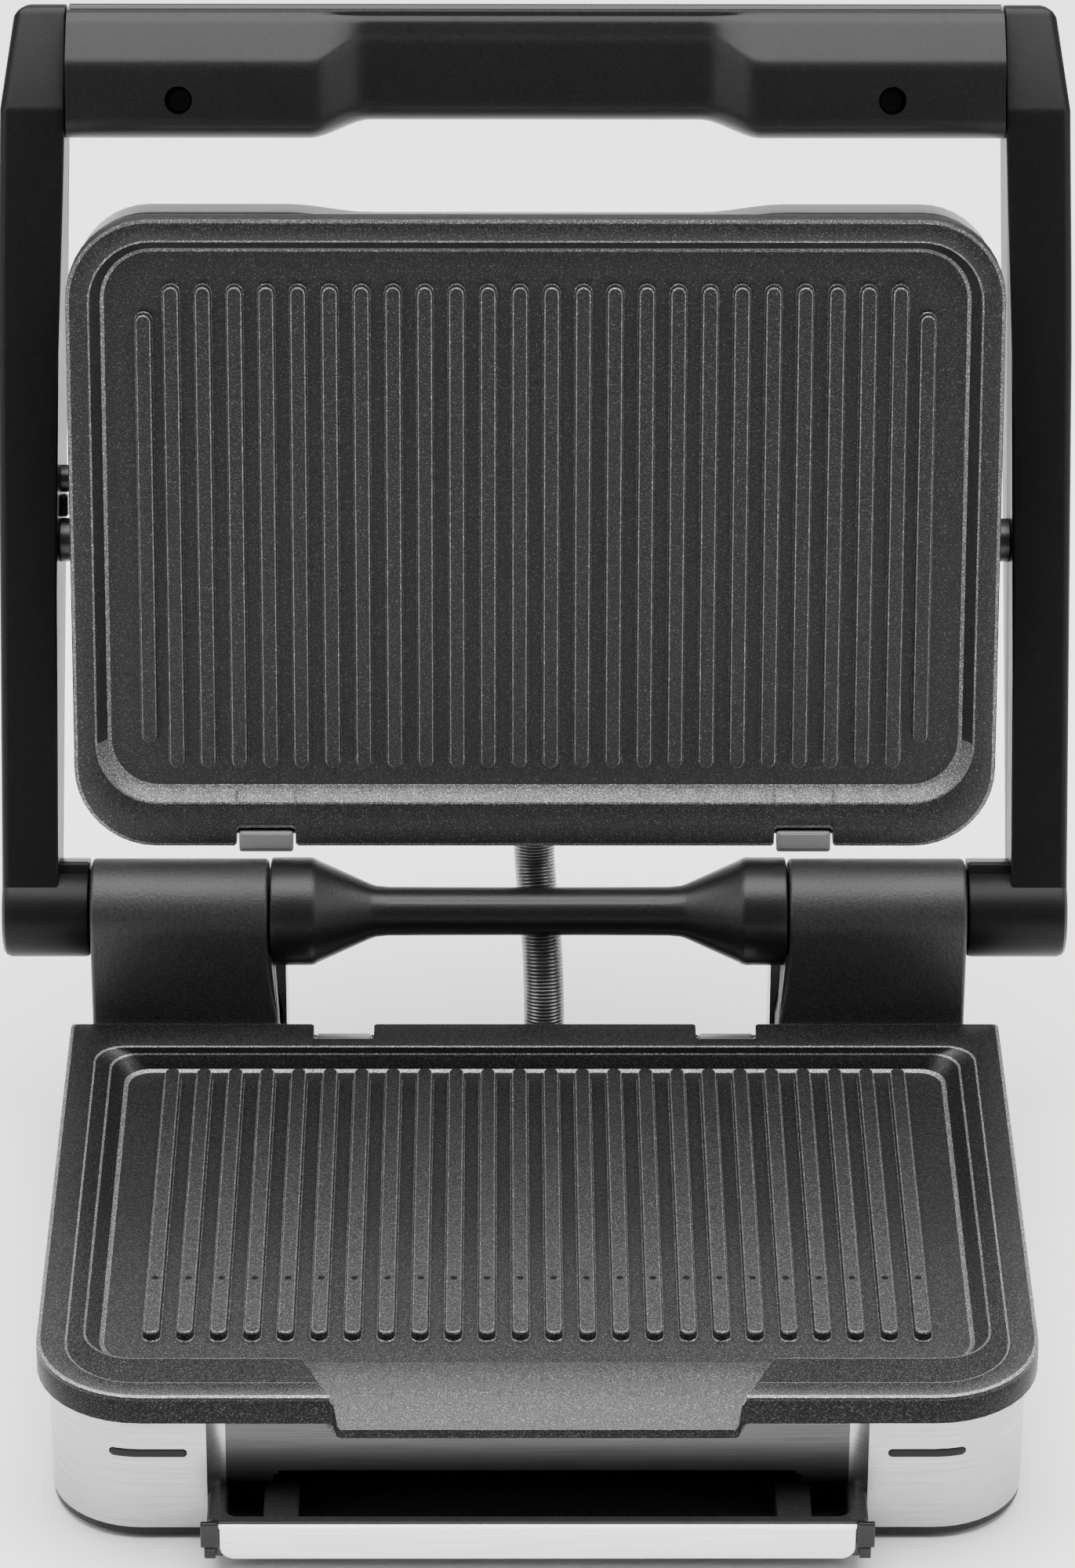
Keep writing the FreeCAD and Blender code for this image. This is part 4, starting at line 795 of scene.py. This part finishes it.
# ---- lid frame ----
def arm_outline():
    """Side view of an arm as (s, h): s runs from the hinge to the front, h is the height above the hinge."""
    corners = [(0, -11.5, 2), (256, -12.5, 1.2), (288.5, -3.0, 2.5), (289.5, 2, 2), (289.5, 9, 4),
               (286, 14, 4), (40, 14, 10), (0, 12.5, 2)]
    points = rounded(corners, 5)
    filled = []
    for number, (s, h) in enumerate(points):
        s2, h2 = points[(number + 1) % len(points)]
        spans = max(1, int(abs(s2 - s) / 24))
        filled += [(s + (s2 - s) * k / spans, h + (h2 - h) * k / spans) for k in range(spans)]
    return filled


def smooth_share(value):
    """Value held between 0 and 1, with soft starts and ends."""
    share = min(1.0, max(0.0, value))
    return share * share * (3 - 2 * share)


def along(s, values):
    """Value at s from (s, value) pairs."""
    for (s0, v0), (s1, v1) in zip(values, values[1:]):
        if s <= s1:
            return v0 + (v1 - v0) * max(0.0, (s - s0) / (s1 - s0))
    return values[-1][1]


# X of an arm's outer and inner face along s, before its bevels
ARM_OUT, ARM_IN = 170.3, 152.2
ARM_OUTER = [(0, ARM_OUT), (190, ARM_OUT), (256, 169.2), (271, 167.6), (283, 166.2), (287, 164.6),
             (289.6, 162.8)]
ARM_INNER = [(0, ARM_IN), (150, 152.0), (216, 149.8), (246, 148.6), (290, 148.5)]
BOSS_IN = 142.5


def arms():
    """Arms with their hinge bosses; the left one also has the lug for the housing's stop pin."""
    outline = [(HINGE_Y - s, HINGE_Z + h) for s, h in arm_outline()]
    for side, name in ((-1, "left"), (1, "right")):
        def bend(x, y, z, end):
            s = HINGE_Y - y
            return x + (along(s, ARM_OUTER) - ARM_OUT if end else along(s, ARM_INNER) - ARM_IN)

        shape = Shape()
        bar_x(shape, outline, ARM_IN, ARM_OUT, 0.8, 2.8, bend)
        near = BOSS_IN + (RIGHT_STEP if side > 0 else 0.0)
        boss = [(near, 5.0), (near, 13.4), (near + 0.5, 14.3), (near + 1.5, 14.6), (167.6, 14.6),
                (169.2, 14.1), (170.1, 13.0), (170.4, 11.5), (170.4, 0.5)]
        lathe_x(shape, boss, HINGE_Y, HINGE_Z)
        neck = [(HINGE_Y - 16.6, HINGE_Z - 7), (HINGE_Y - 8, HINGE_Z - 7), (HINGE_Y - 8, HINGE_Z + 7),
                (HINGE_Y - 16.6, HINGE_Z + 7)]
        bar_x(shape, rounded([(y, z, 1.5) for y, z in neck]), near + 0.2, 153.0, 0.6, 0.4)
        shape.verts = [(side * x, y, z) for x, y, z in shape.verts]
        if side < 0:
            y_lug, z_lug = HINGE_Y - 134, HINGE_Z - 4
            bevelled_box(shape, (-153.0, y_lug, z_lug), (-148.9, y_lug + 7, z_lug + 10), 1.2)
        finish_piece("arm_moulding_" + name, shape, ARMS, "lid_frame",
                     ["satin_black"], (name + "_arm",), sharp=32)


def drill(piece, centres, radius, half_length, place):
    """Cut round holes, along the height direction, into a finished piece."""
    rods = Shape()
    for x, y, z in centres:
        rods.skin([[(*on_circle(x, y, radius, a), z + end) for a in range(0, 360, 12)]
                   for end in (-half_length, half_length)])
    tool = bpy.data.objects.new("drill", outward_mesh("drill", rods, place))
    bpy.context.scene.collection.objects.link(tool)
    modifier = piece.modifiers.new("drill", "BOOLEAN")
    modifier.operation = "DIFFERENCE"
    modifier.solver = "EXACT"
    modifier.object = tool
    bpy.context.view_layer.update()
    result = bpy.data.meshes.new_from_object(piece.evaluated_get(bpy.context.evaluated_depsgraph_get()))
    piece.modifiers.clear()
    piece.data = result
    shade(result, 35)
    bpy.data.objects.remove(tool)


# s of the handle's rear and front, height of its joint with the cover, and its recess
HANDLE_REAR, HANDLE_FRONT, HANDLE_SPLIT = 247.2, 287.6, 5.0
HANDLE_HALF = 148.2
RECESS_HALF, RECESS_RAMP = 52.0, 20.0
HANDLE_SCREW_X, HANDLE_SCREW_S, SCREW_HOLE_R = 112.6, 259.0, 4.4


def handle_cut(x):
    """0 at the handle's ends and 1 in the finger recess."""
    return smooth_share(1 - (abs(x) - RECESS_HALF) / RECESS_RAMP)


def handle_outline(x):
    """Section of the handle's lower moulding at X, as (s, h)."""
    cut = handle_cut(x)
    rear = HANDLE_REAR + 5.9 * cut
    nose = 269.8 + 8.6 * cut
    lift = 9.0 * cut
    corners = [(rear, HANDLE_SPLIT, 0.6), (rear, -9.5 + lift, 3.5), (rear + 3.4, -14.6 + lift, 4.0),
               (nose - 1.0, -17.0 + lift, 2.2), (nose + 1.6, -16.6 + lift, 2.0),
               (284.0, -9.6 + 2.2 * cut, 2.4), (285.9, -7.4 + 1.2 * cut, 1.0), (286.6, -6.8, 0.4),
               (HANDLE_FRONT, -6.5, 0.3), (HANDLE_FRONT, HANDLE_SPLIT, 0.3)]
    return rounded(corners, 4)


def cover_outline(x):
    """Section of the handle's top cover at X, as (s, h)."""
    rear = HANDLE_REAR + 6.1 * handle_cut(x)
    low = HANDLE_SPLIT + 0.1
    return rounded([(rear, low, 0.5), (HANDLE_FRONT, low, 0.5), (HANDLE_FRONT, 9.0, 2.5), (283, 13.0, 5),
                    (270, 15.0, 6), (259, 14.2, 5), (rear, 10.0, 2)])


def handle():
    """Handle bar in two mouldings, with its two screw holes and the trim strip along its front."""
    stations = [-HANDLE_HALF, -130, -112, -94, -80]
    stations += [-73 + 22.0 * k / 16 for k in range(17)] + [-40, -20]
    stations += [0] + [-x for x in reversed(stations)]

    def moulding(outline_at):
        shape = Shape()
        shape.skin([[(x, HINGE_Y - s, HINGE_Z + h) for s, h in outline_at(x)] for x in stations])
        return shape

    bar = finish_piece("handle_lower_moulding", moulding(handle_outline), ARMS, "lid_frame",
                       ["handle_black"], ("handle_underside",), sharp=40)
    screws = [(x, HINGE_Y - HANDLE_SCREW_S, HINGE_Z - 12.0) for x in (-HANDLE_SCREW_X, HANDLE_SCREW_X)]
    drill(bar, screws, SCREW_HOLE_R, 8.0, ARMS)
    finish_piece("handle_cover_moulding", moulding(cover_outline), ARMS, "lid_frame",
                 ["satin_black"], ("handle_top_cover",), sharp=40)

    trim = Shape()
    corners = [(287.7, -6.3, 0.2), (289.1, -5.5, 0.5), (289.6, -3.5, 0.6), (289.6, 5.5, 1.0),
               (287.7, 8.6, 0.3)]
    outline = [(HINGE_Y - s, HINGE_Z + h) for s, h in rounded(corners)]
    bar_x(trim, outline, -147.5, 147.5, 0.3, 0.3)
    finish_piece("handle_trim_strip", trim, ARMS, "lid_frame", ["gloss_black"],
                 ("handle_trim",), sharp=40)


def spindle():
    """Sleeve over the hinge shaft, flared at both ends and faintly fluted between."""
    def flutes(x, k):
        return 0.985 if -47.5 < x < 43.5 and k % 8 == 0 else 1.0

    left = [(-84.6, 16.6), (-84.2, 17.2), (-83.6, 17.4), (-71.8, 17.4), (-70.6, 17.1), (-69.6, 16.5),
            (-53.0, 9.0), (-51.0, 8.3), (-48.0, 8.0), (-47.0, 7.9), (-30.0, 7.8), (0.0, 7.75)]
    right = [(-x + RIGHT_STEP, r) for x, r in reversed(left[:-1])]
    profile = [(-84.6, 5.1)] + left + right + [(84.6 + RIGHT_STEP, 5.1)]
    shape = Shape()
    lathe_x(shape, profile, HINGE_Y, HINGE_Z, 96, flutes)
    finish_piece("spindle_sleeve", shape, ARMS, "lid_frame", ["spindle_black"],
                 ("spindle_cover",), sharp=24)


# ---- upper housing ----
HOUSING_HALF, HOUSING_CORNER, HOUSING_FRONT, HOUSING_REAR = 145.0, 24.0, -204.6, -1.5
HOUSING_LOW, HOUSING_TOP, HOUSING_EDGE = UPPER_RIM + UPPER_PLATE_T + 0.3, 92.0, 12.0
DIP_HALF, DIP_RAMP, DIP_DEPTH = 78.0, 26.0, 2.6
STOP_RADIUS = 19.6                    # stop pin's distance from the pivot


def lid_loop(inset, z):
    """Outline of the steel housing with the shallow dip in the middle of its front."""
    radius = max(HOUSING_EDGE, HOUSING_CORNER - inset)
    xs = [-114, -96, -84, -78, -74, -70, -66, -62, -56, -50, -30, 0]
    xs += [-x for x in reversed(xs[:-1])]
    front = [(x, DIP_DEPTH * smooth_share((DIP_HALF - abs(x)) / DIP_RAMP), 0) for x in xs]
    return plate_loop(HOUSING_HALF - inset, HOUSING_FRONT + inset, HOUSING_REAR - inset, radius, radius, z,
                      front=front)


def lid_skin():
    """Steel housing over the upper plate, with a band along its lower edge painted dark as shade."""
    loops = [lid_loop(1.2, HOUSING_LOW), lid_loop(0.3, HOUSING_LOW), lid_loop(0.0, HOUSING_LOW + 0.6),
             lid_loop(0.0, HOUSING_LOW + 3.6)]
    # The lowest bands take the steel painted dark as shade, where the housing meets the plate.
    marks = [1, 1, 1]
    for a in range(0, 91, 9):
        angle = math.radians(a)
        loops.append(lid_loop(HOUSING_EDGE * (1 - math.cos(angle)),
                              HOUSING_TOP - HOUSING_EDGE + HOUSING_EDGE * math.sin(angle)))
    loops.append(lid_loop(HOUSING_EDGE + 5.0, HOUSING_TOP))
    marks += [0] * (len(loops) - 1 - len(marks))
    shape = Shape()
    shape.skin(loops, marks, (None, 0))
    finish_piece("housing_steel_skin", shape, HOUSING, "upper_housing",
                 ["housing_sheet", "steel_painted_shade"], ("lid_shell",))


def pins():
    """Two grooved pivot pins, and the stop pin at the left."""
    y_pivot = HINGE_Y - PIVOT_S
    pivots = Shape()
    profile = [(144.9, 5.0), (145.1, 6.4), (145.6, 6.9), (147.2, 7.0), (147.4, 6.5), (147.9, 6.5),
               (148.1, 7.0), (151.2, 7.0), (151.9, 6.4), (151.95, 4.0), (161.0, 4.0)]
    for side in (-1, 1):
        lathe_x(pivots, [(side * x, r) for x, r in profile], y_pivot, HINGE_Z, 40)
    finish_piece("pivot_pins_turned", pivots, HOUSING, "upper_housing",
                 ["satin_black_metal"], ("pivot_pins",))
    stop = Shape()
    profile = [(-151.9, 3.0), (-151.9, 4.0), (-151.5, 4.4), (-147.6, 4.4), (-147.3, 3.9), (-146.8, 3.9),
               (-146.5, 4.4), (-145.2, 4.4), (-145.1, 3.0), (-131.0, 3.0)]
    lathe_x(stop, profile, y_pivot - STOP_RADIUS * math.cos(TILT), HINGE_Z + STOP_RADIUS * math.sin(TILT), 32)
    finish_piece("stop_pin_turned", stop, HOUSING, "upper_housing",
                 ["satin_black_metal"], ("stop_pin",))


# ---- drip tray ----
TRAY_FRONT, TRAY_REAR, TRAY_LOW, TRAY_TOP, TRAY_HALF = -220.6, -110.0, 4.6, 17.5, 97.1
STRIP_HALF, STRIP_CORNER, STRIP_FRONT = 93.6, 4.5, TRAY_FRONT - 1.4


def strip_outline(y, inset, top):
    """Front view of the steel strip: rounded at its lower corners."""
    left = [(inset - STRIP_HALF, top)]
    left += corner_points(STRIP_CORNER - STRIP_HALF, TRAY_LOW + STRIP_CORNER, STRIP_CORNER - inset, 180, 6)
    return [(x, y, z) for x, z in left + [(-x, z) for x, z in reversed(left)]]


def tray():
    """Drip tray with two blocks behind its front, the steel front strip and the end caps."""
    def level(inset, z, front, rear, r_front, r_rear):
        return plate_loop(TRAY_HALF - inset, TRAY_FRONT + inset * front, TRAY_REAR - inset * rear, r_front,
                          r_rear, z, steps=5)

    outside = ((1.0, TRAY_LOW), (0.0, TRAY_LOW + 1.0), (0.0, TRAY_TOP - 0.5), (0.5, TRAY_TOP))
    inside = ((5.0, TRAY_TOP), (5.6, TRAY_TOP - 0.6), (5.9, TRAY_LOW + 3.0), (7.4, TRAY_LOW + 1.8))
    loops = [level(inset, z, 0.5, 1.0, 1.4, 6.0) for inset, z in outside]
    loops += [level(inset, z, 0.42, 0.36, 4.0, 4.0) for inset, z in inside]
    pan = Shape()
    pan.skin(loops)
    for x in (-75.5, 75.5):
        bevelled_box(pan, (x - 5.2, TRAY_FRONT + 2.2, TRAY_LOW + 1),
                     (x + 5.2, TRAY_FRONT + 22.0, TRAY_TOP - 1.6), 0.9)
    finish_piece("tray_moulding", pan, BASE, "tray", ["tray_black"], ("drip_tray",))

    strip = Shape()
    strip.skin([strip_outline(STRIP_FRONT + 1.3, 0.0, 16.2), strip_outline(STRIP_FRONT + 0.35, 0.0, 15.5),
                strip_outline(STRIP_FRONT, 0.35, 15.2)])
    finish_piece("tray_steel_strip", strip, BASE, "tray", ["polished_steel"],
                 ("tray_front_strip",))

    caps = Shape()
    for side in (-1, 1):
        x0, x1 = sorted((side * 93.8, side * 99.0))
        bevelled_box(caps, (x0, STRIP_FRONT - 0.4, 8.8), (x1, TRAY_FRONT, TRAY_TOP), 0.6)
        x0, x1 = sorted((side * 94.6, side * 98.0))
        bevelled_box(caps, (x0, STRIP_FRONT - 0.4, 5.0), (x1, TRAY_FRONT, 9.0), 0.5)
    finish_piece("tray_cap_mouldings", caps, BASE, "tray", ["gloss_black"],
                 ("tray_end_caps",))


# ---- conduit ----
CONDUIT_R, RING_PITCH = 6.6, 1.15
RING_PROFILE = (0.955, 1.0, 1.0, 0.99)    # share of the radius at the four stations of each ring


def ringed_tube(name, line):
    """Spiral-wound tube along a line: one shallow groove for each turn of the strip."""
    lengths = [0.0]
    for a, b in zip(line, line[1:]):
        lengths.append(lengths[-1] + (b - a).length)
    samples = int(lengths[-1] / RING_PITCH * len(RING_PROFILE))
    loops = []
    cursor = 0
    for number in range(samples + 1):
        where = lengths[-1] * number / samples
        while cursor < len(lengths) - 2 and lengths[cursor + 1] < where:
            cursor += 1
        share = (where - lengths[cursor]) / (lengths[cursor + 1] - lengths[cursor])
        spot = line[cursor].lerp(line[cursor + 1], share)
        ahead = (line[cursor + 1] - line[cursor]).normalized()
        side = (Vector((1, 0, 0)) - ahead * ahead.x).normalized()
        up = ahead.cross(side)
        r = CONDUIT_R * RING_PROFILE[number % len(RING_PROFILE)]
        loops.append([tuple(spot + side * r * math.cos(math.radians(a)) + up * r * math.sin(math.radians(a)))
                      for a in range(0, 360, 15)])
    shape = Shape()
    shape.skin(loops)
    return finish_piece(name, shape, BASE, None, ["conduit_steel"],
                        ("lid_conduit",), sharp=60)


def conduit():
    """Two runs that meet on the lid frame."""
    points = [Vector(p) for p in ((3.2, 31, 23), (3.2, 31, 38), (2.9, 33.5, 53), (2, 38.5, 67.5),
                                  (0, 47.0, 88.4), (0, 50.1, 103.1))]
    split_z = 66.0
    line = catmull(points, 14)
    split = next(i for i, p in enumerate(line) if p.z > split_z)
    low = ringed_tube("conduit_lower_run", line[:split + 1])
    high = ringed_tube("conduit_upper_run", line[split:])
    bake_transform(low)
    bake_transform(high)


# ---- everything ----
def dress_cad():
    """Material, from its record slot, on every CAD node that stays visible."""
    for part in frame["record"]["subparts"]:
        node = frame["nodes"][part["node"]]
        node.data.materials.clear()
        node.data.materials.append(MATERIALS[part["material_slot"]])


def add_floor():
    half = 6.0
    corners = [(-half, -half, 0), (half, -half, 0), (half, half, 0), (-half, half, 0)]
    mesh = bpy.data.meshes.new("floor")
    mesh.from_pydata(corners, [], [(0, 1, 2, 3)])
    mesh.materials.append(MATERIALS["floor_paper"])
    floor = bpy.data.objects.new("floor", mesh)
    bpy.context.scene.collection.objects.link(floor)


MATERIALS = make_materials()
for build in (dress_cad, lower_plate, upper_plate, latches, base_sheet, indicator_windows, hinge_posts, arms,
              handle, spindle, lid_skin, pins, tray, conduit, add_floor, add_camera, add_lights):
    build()
